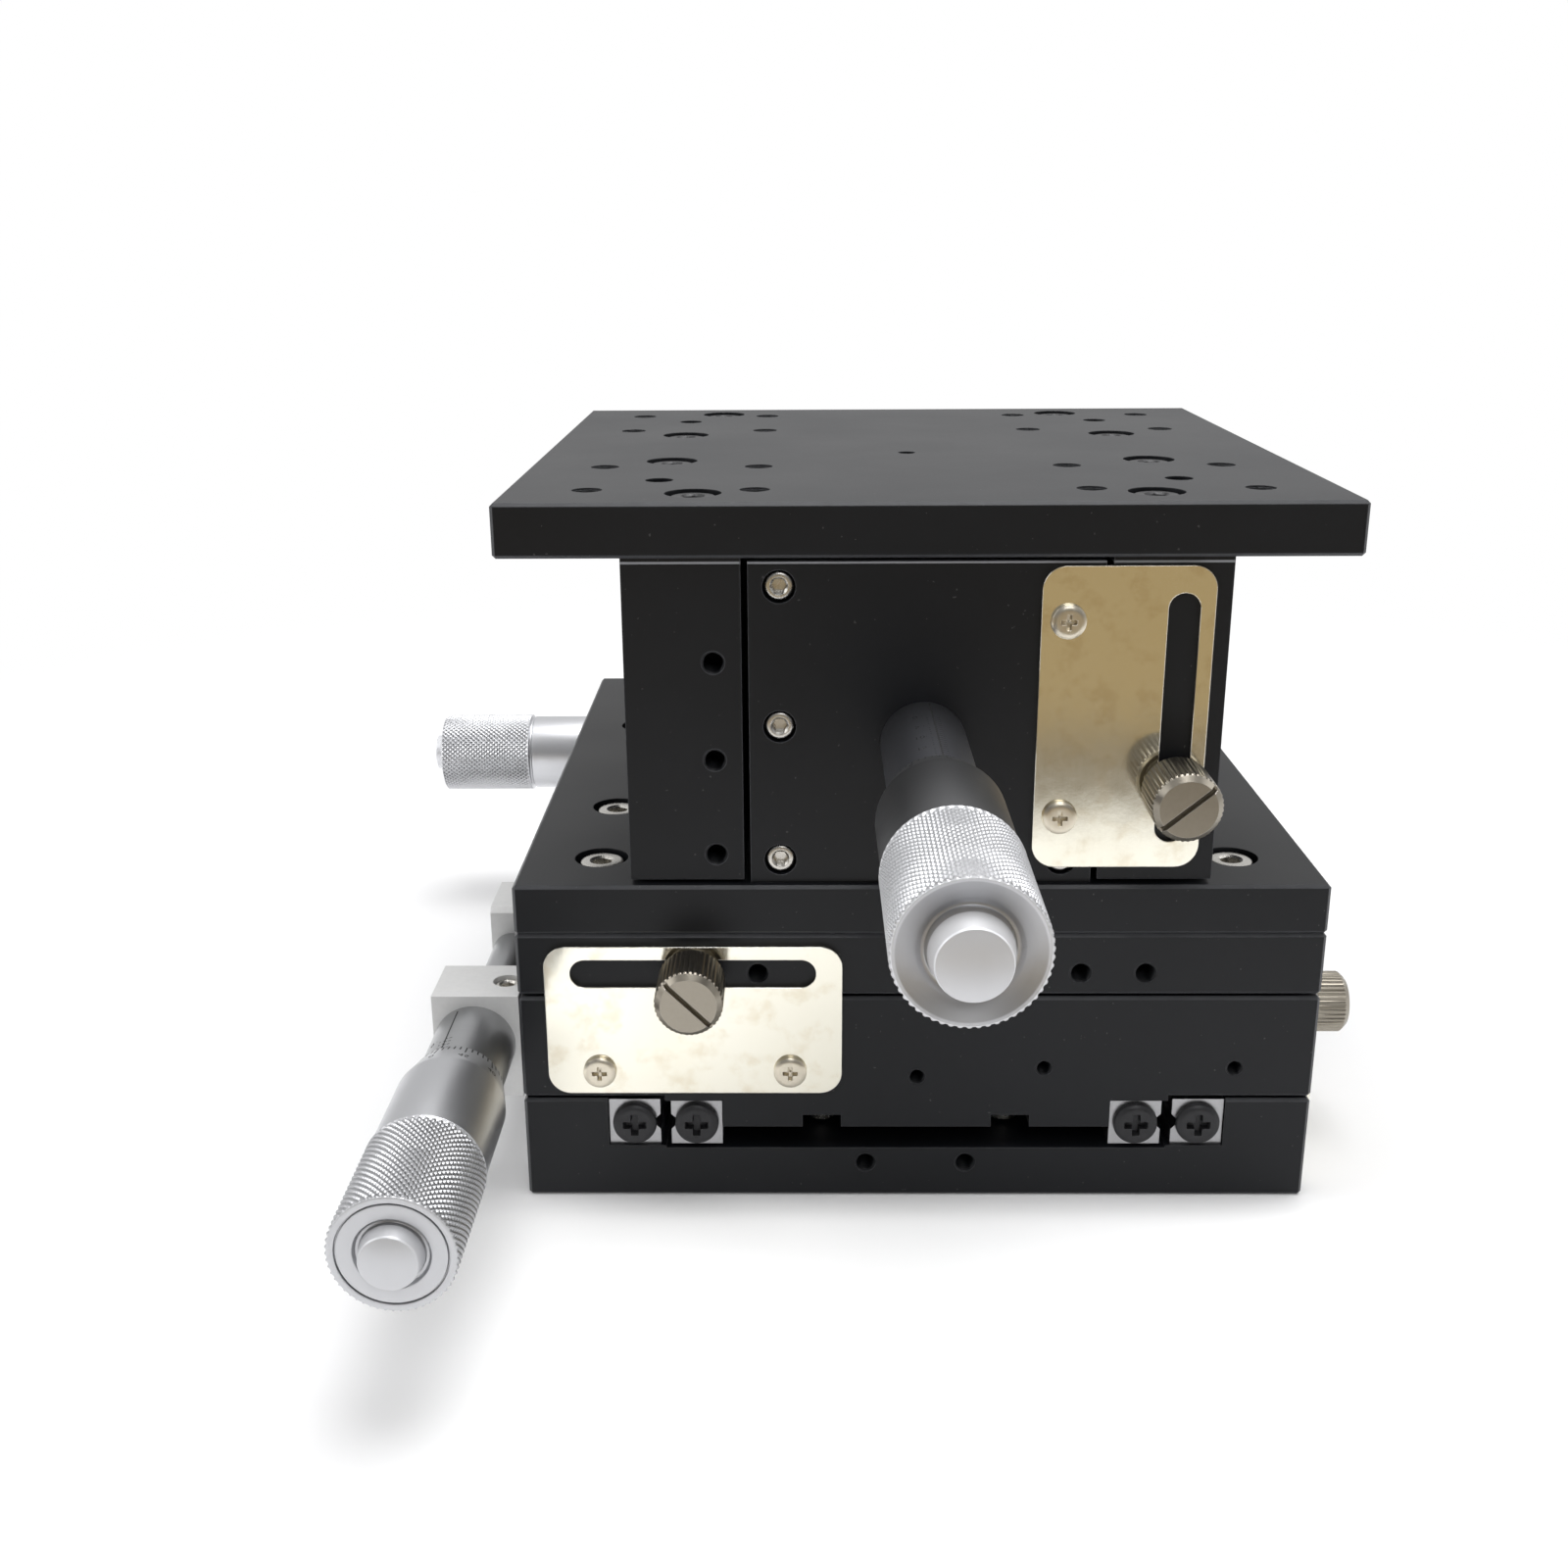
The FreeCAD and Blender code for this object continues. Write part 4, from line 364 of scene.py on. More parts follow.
def solids_of(node):
    """The points of each separate solid of a CAD node. Each triangle gives its lowest label to its
    corners until no label changes."""
    mesh = frame["nodes"][node].data
    points = read(mesh.vertices, "co", 3, np.float32).astype(float)
    same = np.unique(np.round(points, 6), axis=0, return_inverse=True)[1].ravel()
    triangles = same[read(mesh.loops, "vertex_index", 1, np.int32)]
    label = np.arange(same.max() + 1)
    settled = False
    while not settled:
        fresh = label.copy()
        np.minimum.at(fresh, triangles, label[triangles].min(axis=1)[:, None])
        fresh = fresh[fresh]
        settled = (fresh == label).all()
        label = fresh
    groups = label[same]
    return [points[groups == group] / MM for group in np.unique(groups)]


def box_middle(points):
    """The middle of the box around some points."""
    return (points.min(axis=0) + points.max(axis=0)) / 2


def measured_screw(points):
    """Axis (seat and way from tip to head) and the radius and length of head and shank of a screw.
    Across its axis its box is square, and its head is where the widest points are."""
    size, middle = np.ptp(points, axis=0), box_middle(points)
    along = int(np.argmin([abs(size[(i + 1) % 3] - size[(i + 2) % 3]) for i in range(3)]))
    radius = np.linalg.norm(np.delete(points - middle, along, axis=1), axis=1)
    head = radius.max()
    wide = radius > head * 0.97
    direction = np.eye(3)[along] * (1 if points[wide, along].mean() > middle[along] else -1)
    place = points @ direction
    seat = place[wide].min()
    return dict(axis=(middle + (seat - middle @ direction) * direction, direction), head=head,
                height=place.max() - seat, shank=radius[place < seat - 0.2].max(), length=seat - place.min())


# Materials


def math_node(operation, order=1):
    """A method that writes one Math node of a value and the numbers that follow it, if any."""
    def method(self, *others):
        terms = (self, *others)[::order]
        return self.nodes.value("ShaderNodeMath", {"operation": operation}, dict(enumerate(terms)))

    return method


class Value:
    """A number that varies over a surface. Sums written on it become Math nodes."""

    __add__ = __radd__ = math_node("ADD")
    __mul__ = __rmul__ = math_node("MULTIPLY")
    __sub__, __rsub__ = math_node("SUBTRACT"), math_node("SUBTRACT", -1)
    __gt__, __lt__ = math_node("GREATER_THAN"), math_node("LESS_THAN")
    size, larger = math_node("ABSOLUTE"), math_node("MAXIMUM")

    def __init__(self, nodes, socket):
        self.nodes = nodes
        self.socket = socket

    def between(self, low, high):
        """Zero at low and one at high, with a soft passage."""
        return self.nodes.value("ShaderNodeMapRange", {"interpolation_type": "SMOOTHSTEP"},
                                {"Value": self, "From Min": low, "From Max": high})


class Nodes:
    """A node tree, the one way in which its nodes are added, and the coordinates they start from."""

    def __init__(self, tree, coordinates):
        self.tree = tree
        self.place = self.node("ShaderNodeTexCoord", output=coordinates)

    def node(self, kind, settings=None, sockets=None, output=0):
        """One output of a new node, after its settings and the values or links of its sockets."""
        node = self.tree.nodes.new(kind)
        for key, value in (settings or {}).items():
            setattr(node, key, value)
        for key, value in (sockets or {}).items():
            self.join(node.inputs[key], value)
        return node.outputs[output]

    def value(self, *args, **kwargs):
        """The same as a number for further sums."""
        return Value(self, self.node(*args, **kwargs))

    def join(self, socket, value):
        """Links a value or another node's output to a socket, or sets a plain number or colour."""
        if isinstance(value, Value):
            self.tree.links.new(value.socket, socket)
        elif isinstance(value, bpy.types.NodeSocket):
            self.tree.links.new(value, socket)
        else:
            socket.default_value = value

    def axis(self, letter, of=None):
        """One coordinate of the place, or of another vector."""
        return self.value("ShaderNodeSeparateXYZ", None, {"Vector": of or self.place}, letter)

    def ray(self, kind):
        """One for the camera's or the glossy rays, and zero for all others."""
        return self.value("ShaderNodeLightPath", output="Is %s Ray" % kind)


class Finish(Nodes):
    """A material of Object coordinates."""

    def __init__(self, name):
        self.material = bpy.data.materials.new(name)
        self.material.use_nodes = True
        super().__init__(self.material.node_tree, "Object")
        self.shader = self.tree.nodes["Principled BSDF"]

    def shade(self, **sockets):
        """Sets or links the shader's own sockets, named with a low line for a space."""
        for key, value in sockets.items():
            self.join(self.shader.inputs[key.replace("_", " ")], value)

    def noise(self, scale, detail=2.0, stretch=(1, 1, 1), rough=0.5):
        """Cloudy noise, from 0 to 1."""
        place = self.node("ShaderNodeMapping", None, {"Vector": self.place, "Scale": stretch})
        return self.value("ShaderNodeTexNoise", None,
                          {"Vector": place, "Scale": scale, "Detail": detail, "Roughness": rough})

    def colours(self, first, second, share):
        """A colour between two, by a share from 0 to 1."""
        return self.node("ShaderNodeMix", {"data_type": "RGBA"}, {0: share, 6: first, 7: second}, 2)

    def round_edges(self, radius):
        """The surface's normal, turned towards its neighbour's near an edge."""
        return self.node("ShaderNodeBevel", {"samples": 4}, {"Radius": radius * MM})

    def edge(self, rounded):
        """One where the rounded normal leaves the true one, at an edge, and zero elsewhere."""
        true = self.node("ShaderNodeNewGeometry", output="Normal")
        dot = self.value("ShaderNodeVectorMath", {"operation": "DOT_PRODUCT"}, {0: rounded, 1: true}, "Value")
        return (1 - dot).between(0.02, 0.2)

    def bump(self, height, distance, normal=None, strength=0.5):
        """The normal of a height field, on top of another normal where there is one."""
        sockets = {"Height": height, "Distance": distance * MM, "Strength": strength}
        if normal is not None:
            sockets["Normal"] = normal
        return self.node("ShaderNodeBump", None, sockets)


def tint(colour, factor=1.0):
    """A colour with its alpha, made lighter or darker."""
    return tuple(min(1.0, part * factor) for part in colour) + (1.0,)


def anodised_finish(name, cut_edges, worn=0.065):
    """Bead-blasted black anodising: a fine grain, faint clouds, and lighter edges, partly wear and
    partly a painted highlight where edges catch the light.

    The chamfers of a plate's sides, square to no axis, count as edges, and an upright has a painted
    highlight, a bright line below the centre frame's top.
    """
    finish = Finish(name)
    colour = looks().plate_colour
    clouds = finish.noise(38, 3)
    grain = finish.noise(5200, 2)
    specks = finish.noise(1500, 1).between(0.775, 0.80)
    dark = finish.colours(tint(colour, 0.82), tint(colour, 1.25), clouds)
    rounded = finish.round_edges(0.24)
    edge = finish.edge(rounded)
    if cut_edges:
        facing = finish.node("ShaderNodeTexCoord", output="Normal")
        x, y, z = [finish.axis(letter, facing).size() for letter in "XYZ"]
        rim = finish.axis("X").size().larger(finish.axis("Y").size()) > PLATE_SIDE * MM
        edge = edge.larger((x.larger(y).larger(z) < 0.9) * rim)
    else:
        height = finish.axis("Z")
        # Painted highlight: a bright line on the uprights just below the centre frame's top, where the edge
        # catches the light.
        painted_highlight_line = (height > (FRAME_TOP - HIGHLIGHT_LINE_WIDTH) * MM) * (height < (FRAME_TOP + 0.01) * MM)
        dark = finish.colours(dark, tint((0.30, 0.305, 0.32)), painted_highlight_line)
    # Lighter edges, partly wear and partly a painted highlight where edges catch the light; worn is their
    # colour.
    wear_highlight_and_dust = finish.colours(dark, tint((worn, worn * 1.03, worn * 1.12)),
                           edge * (0.55 + 0.45 * finish.noise(260, 2)))
    wear_highlight_and_dust = finish.colours(wear_highlight_and_dust, tint((0.12, 0.12, 0.12)), specks * 0.4)
    finish.shade(Base_Color=wear_highlight_and_dust, Roughness=looks().plate_roughness - 0.05 + 0.09 * clouds + 0.05 * grain,
                 Normal=finish.bump(grain, 0.006, rounded, 0.6), Specular_IOR_Level=0.3)
    return finish.material


def nickel_finish():
    """Polished nickel sheet: a warm tone, slow waves from rolling, fine wiping lines, bright cut edges."""
    finish = Finish("polished nickel sheet")
    waves = finish.noise(75, 3, (1, 1, 0.6))
    blotches = finish.noise(210, 4, rough=0.6)
    lines = finish.noise(900, 2, (6, 6, 0.35))
    warm = finish.colours(tint(looks().nickel_colour, 0.95), tint((0.98, 0.96, 0.86)), waves)
    warm = finish.colours(warm, tint((0.74, 0.64, 0.45)), blotches.between(0.48, 0.7) * 0.45)
    rounded = finish.round_edges(0.22)
    height = waves * 0.8 + blotches * 0.14 + lines * 0.012
    finish.shade(Base_Color=finish.colours(warm, tint((0.95, 0.93, 0.88)), finish.edge(rounded)),
                 Metallic=1.0, Roughness=0.06 + 0.09 * blotches + 0.03 * lines,
                 Normal=finish.bump(height, 0.16, rounded))
    return finish.material


def metal_finish(name, colour, roughness, grain, edge_wear_and_highlight=None, depth=0.006, shift=0.12, radius=0.12,
                 metallic=1.0):
    """Machined metal: fine grain, slow tone changes, lighter rounded edges of wear and painted highlight."""
    finish = Finish(name)
    lines = finish.noise(grain, 3)
    clouds = finish.noise(60, 2)
    tone = finish.colours(tint(colour, 1 - shift), tint(colour, 1 + shift), 0.5 * lines + 0.5 * clouds)
    rounded = finish.round_edges(radius)
    if edge_wear_and_highlight:
        # Lighter edges: partly wear, partly a painted highlight where edges catch the light.
        tone = finish.colours(tone, tint(edge_wear_and_highlight), finish.edge(rounded) * 0.7)
    finish.shade(Base_Color=tone, Metallic=metallic, Normal=finish.bump(lines, depth, rounded),
                 Roughness=roughness - 0.05 + 0.06 * lines + 0.05 * clouds)
    return finish.material


def turned_finish(name, colour, roughness, along, shade=1.0, head=None, smooth=1.0):
    """Turned metal: fine rings around the axis, with slow tone changes.

    The thimble of a head has a tone of its own before the knurl, painted light and shade for that
    part, and a lighter end face, a painted highlight.
    """
    finish = Finish(name)
    stretch = [0.02, 0.02, 0.02]
    stretch["xyz".index(along)] = 1
    rings = finish.noise(3600, 2, stretch)
    wide = finish.noise(420, 2, stretch)
    clouds = finish.noise(45, 2)
    # shade scales the whole tone of one head or sleeve: painted light and shade for where it sits.
    tone = finish.colours(tint(colour, 0.88 * shade), tint(colour, 1.08 * shade),
                          0.4 * rings + 0.3 * wide + 0.3 * clouds)
    metallic = 1.0
    if head:
        place = finish.axis(along.upper()) * -1
        knurl, end = head["places"][2:4]
        # Before the knurl the tone is scaled by smooth: painted light and shade, on the Z thimble a painted
        # reflection of the dark plate.
        tone = finish.colours(tone, tint(colour, smooth), place.between(knurl * MM, (knurl - 0.4) * MM))
        # The end face is lighter: a painted highlight.
        face = place.between((end - 0.2) * MM, (end - 0.12) * MM)
        tone = finish.colours(tone, tint(colour, 1.25 * shade), face)
        metallic = 1 - 0.55 * face
    finish.shade(Base_Color=tone, Metallic=metallic, Normal=finish.bump(rings + 0.5 * wide, 0.006),
                 Roughness=roughness + 0.08 * rings + 0.04 * clouds - 0.05)
    return finish.material


def black_screw_finish():
    """Black oxide on steel: satin, faintly mottled, with worn edges."""
    finish = Finish("black oxide")
    mottle = finish.noise(700, 4)
    rounded = finish.round_edges(0.1)
    tone = finish.colours(tint((0.020, 0.020, 0.022)), tint((0.040, 0.040, 0.043)), mottle)
    tone = finish.colours(tone, tint((0.12, 0.12, 0.125)), finish.edge(rounded) * 0.7)
    finish.shade(Base_Color=tone, Metallic=0.35, Roughness=0.34 + 0.12 * mottle,
                 Normal=finish.bump(mottle, 0.01, rounded))
    return finish.material


def ink_finish():
    """Engraving filled with black paint, slightly uneven."""
    finish = Finish("black filling")
    colour = (0.012, 0.012, 0.013)
    patchy = finish.noise(2500, 3)
    finish.shade(Base_Color=finish.colours(tint(colour, 0.8), tint(colour, 1.2), patchy),
                 Roughness=0.5 + 0.2 * patchy)
    return finish.material


@functools.cache
def material(name):
    """A finish by name, made when it is first asked for."""
    props = looks()
    chrome, sleeve = props.chrome_colour, props.sleeve_colour
    maker, *values = {
        "cut plates": (anodised_finish, "black anodised plate", True),
        # The uprights' edges take a lighter colour: more painted highlight along them.
        "uprights": (anodised_finish, "black anodised upright", False, 0.16),
        "threads": (anodised_finish, "black anodised thread", False),
        "nickel": (nickel_finish,),
        "knob": (metal_finish, "satin nickel", props.knob_colour, 0.30, 1500, (0.85, 0.82, 0.77)),
        "screw": (metal_finish, "stainless screw", props.screw_colour, 0.27, 1800, (0.88, 0.87, 0.84)),
        "pan screw": (metal_finish, "nickel screw", (0.74, 0.68, 0.56), 0.31, 1800, (0.92, 0.88, 0.80)),
        "black screw": (black_screw_finish,),
        "rail": (metal_finish, "ground rail steel", (0.44, 0.44, 0.45), 0.30, 2100, (0.8, 0.8, 0.8), 0.006,
                 0.2),
        "roller": (metal_finish, "roller steel", (0.66, 0.66, 0.67), 0.2, 1200, None, 0.003),
        "spring": (metal_finish, "spring steel", (0.42, 0.42, 0.43), 0.28, 1500, None, 0.005),
        "block": (metal_finish, "satin aluminium", props.block_colour, 0.48, 1100, (0.93, 0.93, 0.93), 0.012,
                  0.12, 0.25, 0.3),
        # One chrome and one sleeve colour, made lighter or darker for each head: painted light and shade for
        # where it sits.
        "thimble x": (turned_finish, "satin chrome across", chrome, 0.38, "x", 1.0, HEADS["x"], 1.1),
        "thimble y": (turned_finish, "satin chrome along", chrome, 0.38, "y", 0.8, HEADS["y"], 0.9),
        "thimble z": (turned_finish, "bright grip", chrome, 0.42, "y", 0.95, HEADS["z"], 0.2),
        "sleeve x": (turned_finish, "satin sleeve across", sleeve, 0.30, "x", 1.4),
        "sleeve y": (turned_finish, "satin sleeve along", sleeve, 0.34, "y"),
        "sleeve z": (turned_finish, "dark sleeve", (0.17, 0.173, 0.19), 0.42, "y"),
        "ink": (ink_finish,),
    }[name]
    return maker(*values)


# Pieces


def thimble_profile(head):
    """Profile of a thimble from the bottom of its bore round its edge to the tip of its button, in two
    parts between which the knurl goes.

    A bevel rises from the front edge, a smooth part follows, a shallow groove parts it from the
    knurl, and the end has a chamfered rim, a turned-in face and a button with a domed top.
    """
    edge, bevel, knurl, end, tip = head["places"]
    r_edge, r_smooth, crest = head["radii"]
    r_root, r_tip = head["button"]
    groove, bore = head["groove"], SLEEVE_RADIUS + 0.1
    outer = softened([
        (end - 4, 0.0), (end - 4, bore), (edge, bore), (edge, r_edge), (bevel, r_smooth),
        (knurl - 0.75, r_smooth), (knurl - 0.6, r_smooth - 0.3), (knurl - 0.2, r_smooth - 0.3),
        (knurl - 0.05, crest - 0.3)], 0.12, 2)
    rim = [(end - 0.3, crest - 0.02), (end, crest - 0.4)]
    if groove:
        rim += [(end, groove + 0.02), (end - 0.5, groove), (end - 0.5, groove - 0.2),
                (end - 0.05, groove - 0.22), (end - 0.1, r_root + 0.75), (end - 0.7, r_root + 0.45)]
    else:
        rim += [(end - 0.1, crest - 0.6), (end - 1.1, r_root + 1.0), (end - 1.5, r_root + 0.4)]
    face = softened(rim + [(rim[-1][0], r_root), (tip - 0.7, r_tip), (tip - 0.5, r_tip - 0.15)], 0.12)
    inward = np.linspace(1, 0, 8)[1:]
    dome = np.stack([tip - 0.5 * inward ** 2, (r_tip - 0.15) * inward], axis=1)
    return outer, np.vstack([face, dome])


def knurled_thimble(letter):
    """A micrometer thimble whose grip is cut with a diamond knurl.

    With u = count a / 2 pi and v = place / pitch, the crest falls towards two sets of slanting
    grooves: radius = crest - depth (1 - min(g(u + v), g(u - v))), where g(t) rises from 0 in a
    groove to 1 between two, g(t) = min(1, 1.45 (1 - |2 (t mod 1) - 1|)).
    """
    head, props = HEADS[letter], looks()
    count, pitch, depth = props.knurl_count, props.knurl_pitch / MM, props.knurl_depth / MM
    outer, face = thimble_profile(head)
    fade, crest = 0.3, head["radii"][2]
    low, high = head["places"][2], head["places"][3] - fade
    rows = int(round((high - low) / (pitch / 6)))
    profile = np.vstack([outer, straight(low, high, rows + 1, crest), face])

    def knurl(radius, angle, place):
        within = np.clip((place - low) / fade, 0, 1) * (radius > crest - 0.35) * (place <= high)
        u, v = count * angle / TURN, place / pitch
        cut = 1 - np.minimum(1, 1.45 * np.minimum(ridged(u + v), ridged(u - v)))
        return radius - depth * cut * within

    grid = turned_grid(profile, count * 6, knurl)[1:-1]
    shell = turned_shell(grid, profile[0, 0], profile[-1, 0], *head["axis"])
    node = letter + "_thimble"
    piece = make_piece(node, "_knurled", [shell], "thimble " + letter, 35)
    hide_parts(node)


def ticks_on_cone(head, angles, starts, ends, cone, width):
    """Short bars that lie on a cone or cylinder: each corner is at radius cone(place) plus the ink's
    lift or sunk below it, at the bar's angle plus or minus half its width over that radius."""
    rows = np.broadcast_arrays(angles, starts, ends, width)
    angles, starts, ends, width = [row[:, None, None, None] for row in rows]
    place = np.concatenate([starts, ends], axis=1)
    radius = cone(place) + np.array([-INK_DEPTH, INK_LIFT])
    angle = angles + np.array([[-1], [1]]) * (width / 2) / radius
    points = placed(polar(radius, angle, place).reshape(-1, 3), *head["axis"])
    box = np.array([[0, 1, 3, 2], [4, 6, 7, 5], [0, 4, 5, 1], [2, 3, 7, 6], [0, 2, 6, 4], [1, 5, 7, 3]])
    quads = (box[None] + 8 * np.arange(len(angles))[:, None, None]).reshape(-1, 4)
    return points, quads, np.empty((0, 3), int)


def flat_number(text, size):
    """The mesh of a plain number, centred on the origin, as points and triangles."""
    curve = bpy.data.curves.new("number", "FONT")
    curve.body = text
    curve.size = size
    curve.extrude = 0.05
    curve.resolution_u = 3
    curve.align_x = curve.align_y = "CENTER"
    holder = bpy.data.objects.new("number", curve)
    mesh = bpy.data.meshes.new_from_object(holder)
    mesh.calc_loop_triangles()
    points = read(mesh.vertices, "co", 3, np.float32).astype(float)
    triangles = read(mesh.loop_triangles, "vertices", 3, np.int32)
    bpy.data.objects.remove(holder)
    bpy.data.curves.remove(curve)
    bpy.data.meshes.remove(mesh)
    return points, triangles


def wrapped_number(head, number, size, angle, place, cone):
    """A number wrapped on a cone or cylinder: its height runs along the axis and its width around it."""
    points, triangles = flat_number(str(number), size)
    along = place + points[:, 1]
    radius = cone(along) + np.where(points[:, 2] > 0, INK_LIFT, -0.05)
    local = polar(radius, angle - points[:, 0] / cone(place), along)
    return placed(local, *head["axis"]), np.empty((0, 4), int), triangles


def thimble_marks(letter):
    """Marks around the bevel, every fifth one longer and numbered."""
    head = HEADS[letter]
    edge, bevel = head["places"][:2]
    r_edge, r_smooth = head["radii"][:2]

    def cone(place):
        return r_edge + (r_smooth - r_edge) * (place - edge) / (bevel - edge)

    fine = np.arange(THIMBLE_MARKS)
    angles = head["side"] + fine * TURN / THIMBLE_MARKS
    ends = edge + np.where(fine % 5 == 0, 2.5, 1.5)
    parts = [ticks_on_cone(head, angles, edge + 0.15, ends, cone, THIMBLE_MARK_WIDTH)]
    parts += [wrapped_number(head, number, THIMBLE_NUMBER, angles[number], edge + 3.9, cone)
              for number in range(0, THIMBLE_MARKS, 5)]
    make_piece(letter + "_thimble", "_marks", parts, "ink")


def sleeve_marks(letter):
    """The index line with a mark each half millimetre, millimetres on one side and halves on the
    other, and a number every five millimetres."""
    head = HEADS[letter]
    edge, zero, side = head["places"][0], head["zero"], head["side"]

    def tube(place):
        return SLEEVE_RADIUS + 0 * place

    whole = np.arange(SLEEVE_MARKS + 1)
    fifth = whole % 5 == 0
    parts = [ticks_on_cone(head, [side], head["seat"] + 1.0, edge + 2, tube, INDEX_WIDTH)]
    for steps, middle, length in ((whole, 0.5 + 0.35 * fifth, 1.0 + 0.7 * fifth),
                                  (whole[:-1] + 0.5, -0.55, 0.9)):
        place = zero + steps
        parts.append(ticks_on_cone(head, side + middle / SLEEVE_RADIUS, place - SLEEVE_MARK_WIDTH / 2,
                                   place + SLEEVE_MARK_WIDTH / 2, tube, length))
    parts += [wrapped_number(head, number, SLEEVE_NUMBER, side + 2.6 / SLEEVE_RADIUS, zero + number, tube)
              for number in range(0, SLEEVE_MARKS + 1, 5) if zero + number < edge - 0.8]
    make_piece(letter + "_sleeve", "_marks", parts, "ink")


def knob_ribs(letter):
    """The straight knurl of a clamp knob, a band around its head.

    radius = head - 0.02 + height min(1, 2 (1 - |2 (count a / 2 pi mod 1) - 1|)), and the band's
    ends and back lie inside the head.
    """
    props = looks()
    count, height = props.rib_count, props.rib_depth / MM

    def ribs(radius, angle, place):
        ridge = np.minimum(1, 2.0 * ridged(count * angle / TURN))
        return radius + np.where(radius >= KNOB_RADIUS, height * ridge - 0.02, 0)

    band = closed_band(placed(turned_grid(KNOB_BAND, count * 6, ribs), *KNOB_HEADS[letter]))
    make_piece(letter + "_clamp_knob", "_ribs", [band], "knob", 25)


# Screws, each shape as rings and the places of their poles on the axis


def threaded_shank(screw):
    """A screw's thread: radius = outer - depth |2 ((place / pitch - a / 2 pi) mod 1) - 1|, and
    thinner towards the tip."""
    pitch = LARGE_PITCH if screw["shank"] > LARGE_SHANK else SMALL_PITCH
    rows = int(screw["length"] / (pitch / 4))
    low, high = -screw["length"], 0.05
    tip_length, tip_inset = 0.8, 0.35

    def thread(radius, angle, place):
        cut = 0.55 * pitch * (1 - ridged(place / pitch - angle / TURN))
        return radius - cut - tip_inset * np.clip(1 - (place - low) / tip_length, 0, 1)

    return turned_grid(straight(low, high, rows, screw["shank"]), 20, thread), low, high


def socket_head(screw):
    """A cap screw's head: a hexagon socket that opens through a countersink to a flat top, a
    rounded rim, and a side with fine straight ridges."""
    head, height = screw["head"], screw["height"]
    across = SOCKET_WIDTHS[int(round(head * 2 - 0.3))]
    bottom, point, teeth = height * 0.45, across / math.sqrt(3), 24
    profile = np.array([
        (bottom, point * 0.02), (bottom, point), (height - 0.3, point), (height - 0.06, point + 0.14),
        (height, point + 0.22), (height, head - 0.5), (height - 0.04, head - 0.3),
        (height - 0.16, head - 0.12), (height - 0.34, head - 0.03), (height - 0.5, head),
        (height * 0.3, head), (0.35, head), (0.12, head - 0.05), (0.0, head - 0.2), (0.0, head * 0.4)])
    wall = np.array([0.02, 1, 1] + [0] * 12)[:, None]
    side = np.array([0] * 9 + [1] * 3 + [0] * 3)[:, None]

    def shape(radius, angle, place):
        ridge = 0.5 + 0.5 * np.cos(teeth * angle)
        return np.where(wall > 0, hexagon(angle, across) * wall, radius - 0.14 * ridge * side)

    return turned_grid(profile, teeth * 4, shape), bottom, 0.0


def cross_head(screw, share, length, half_width):
    """A pan head: a domed top with a crossed recess that narrows with depth, and a rounded side. The
    dome goes from the cross's outline to a circle over three rings."""
    head, height = screw["head"], screw["height"] * share
    narrow = np.array([0.05, 0.8, 0.92, 1.0, 1.05])
    sunk = height * 0.94 * np.array([1.0, 0.95, 0.6, 0.06, 0.0])
    inner = np.stack([height - sunk, narrow * length], axis=1)
    out = np.linspace(0, 1, 9)
    start = length * 1.12
    dome = np.stack([height - 0.3 * height * out ** 3, start + (head * 0.97 - start) * out], axis=1)
    rim = [(height * 0.46, head), (height * 0.2, head), (0.0, head * 0.97), (0.0, head * 0.3)]
    profile = np.vstack([inner, dome, rim])
    row = np.arange(len(profile))[:, None] - len(inner)
    scale = np.concatenate([narrow, np.ones(len(dome) + len(rim))])[:, None]

    def shape(radius, angle, place):
        cross = cross_outline(angle, length, half_width)
        edge, early = cross * 1.08, np.clip(row, 0, 3) / 3
        circle = np.where(early < 1, np.maximum(edge + (radius - edge) * early, edge), radius)
        return np.where(row < 0, cross * scale, circle)

    return turned_grid(profile, 72, shape), profile[0, 0], 0.0


def screws(node, kind, finish):
    """New screws in the places of a CAD node's screws. A lock screw has no head."""
    parts = []
    for screw in map(measured_screw, solids_of(node)):
        shapes = [threaded_shank(screw)]
        if kind in CROSSES:
            shapes.append(cross_head(screw, *CROSSES[kind]))
        elif screw["head"] > screw["shank"] * 1.2:
            shapes.append(socket_head(screw))
        parts += [turned_shell(*shape, *screw["axis"]) for shape in shapes]
    piece = make_piece(node, "_cut", parts, finish, 28)
    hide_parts(node)


# Springs and threads


def coil_spring(fixed, moving):
    """The coil of a return spring, between its eyes round the middles of two posts.

    centre(t) = axis(t) + R min(1, n t, n (1 - t)) (cos 2 pi n t, sin 2 pi n t), which grows out of one
    eye and back into the other over a turn, and the wire's section is a circle across it.
    """
    span = np.linalg.norm(moving - fixed)
    axis = (moving - fixed) / span
    length = span - 2 * SPRING_EYE
    turns = int(length / (SPRING_WIRE * 2.8))
    t = np.linspace(0, 1, turns * 14 + 1)
    around = TURN * turns * t
    spread = np.minimum(1, turns * np.minimum(t, 1 - t))
    out = polar(1.0, around, 0)
    ahead = np.array([0, 0, 1.0])
    centre = SPRING_EYE * spread[:, None] * out + ahead * (SPRING_EYE + length * t)[:, None]
    section = np.arange(6)[:, None] * TURN / 6
    wire = SPRING_WIRE * (np.cos(section) * out[:, None] + np.sin(section) * ahead)
    return closed_shell(placed(centre[:, None] + wire, fixed, axis), placed(centre[[0, -1]], fixed, axis))


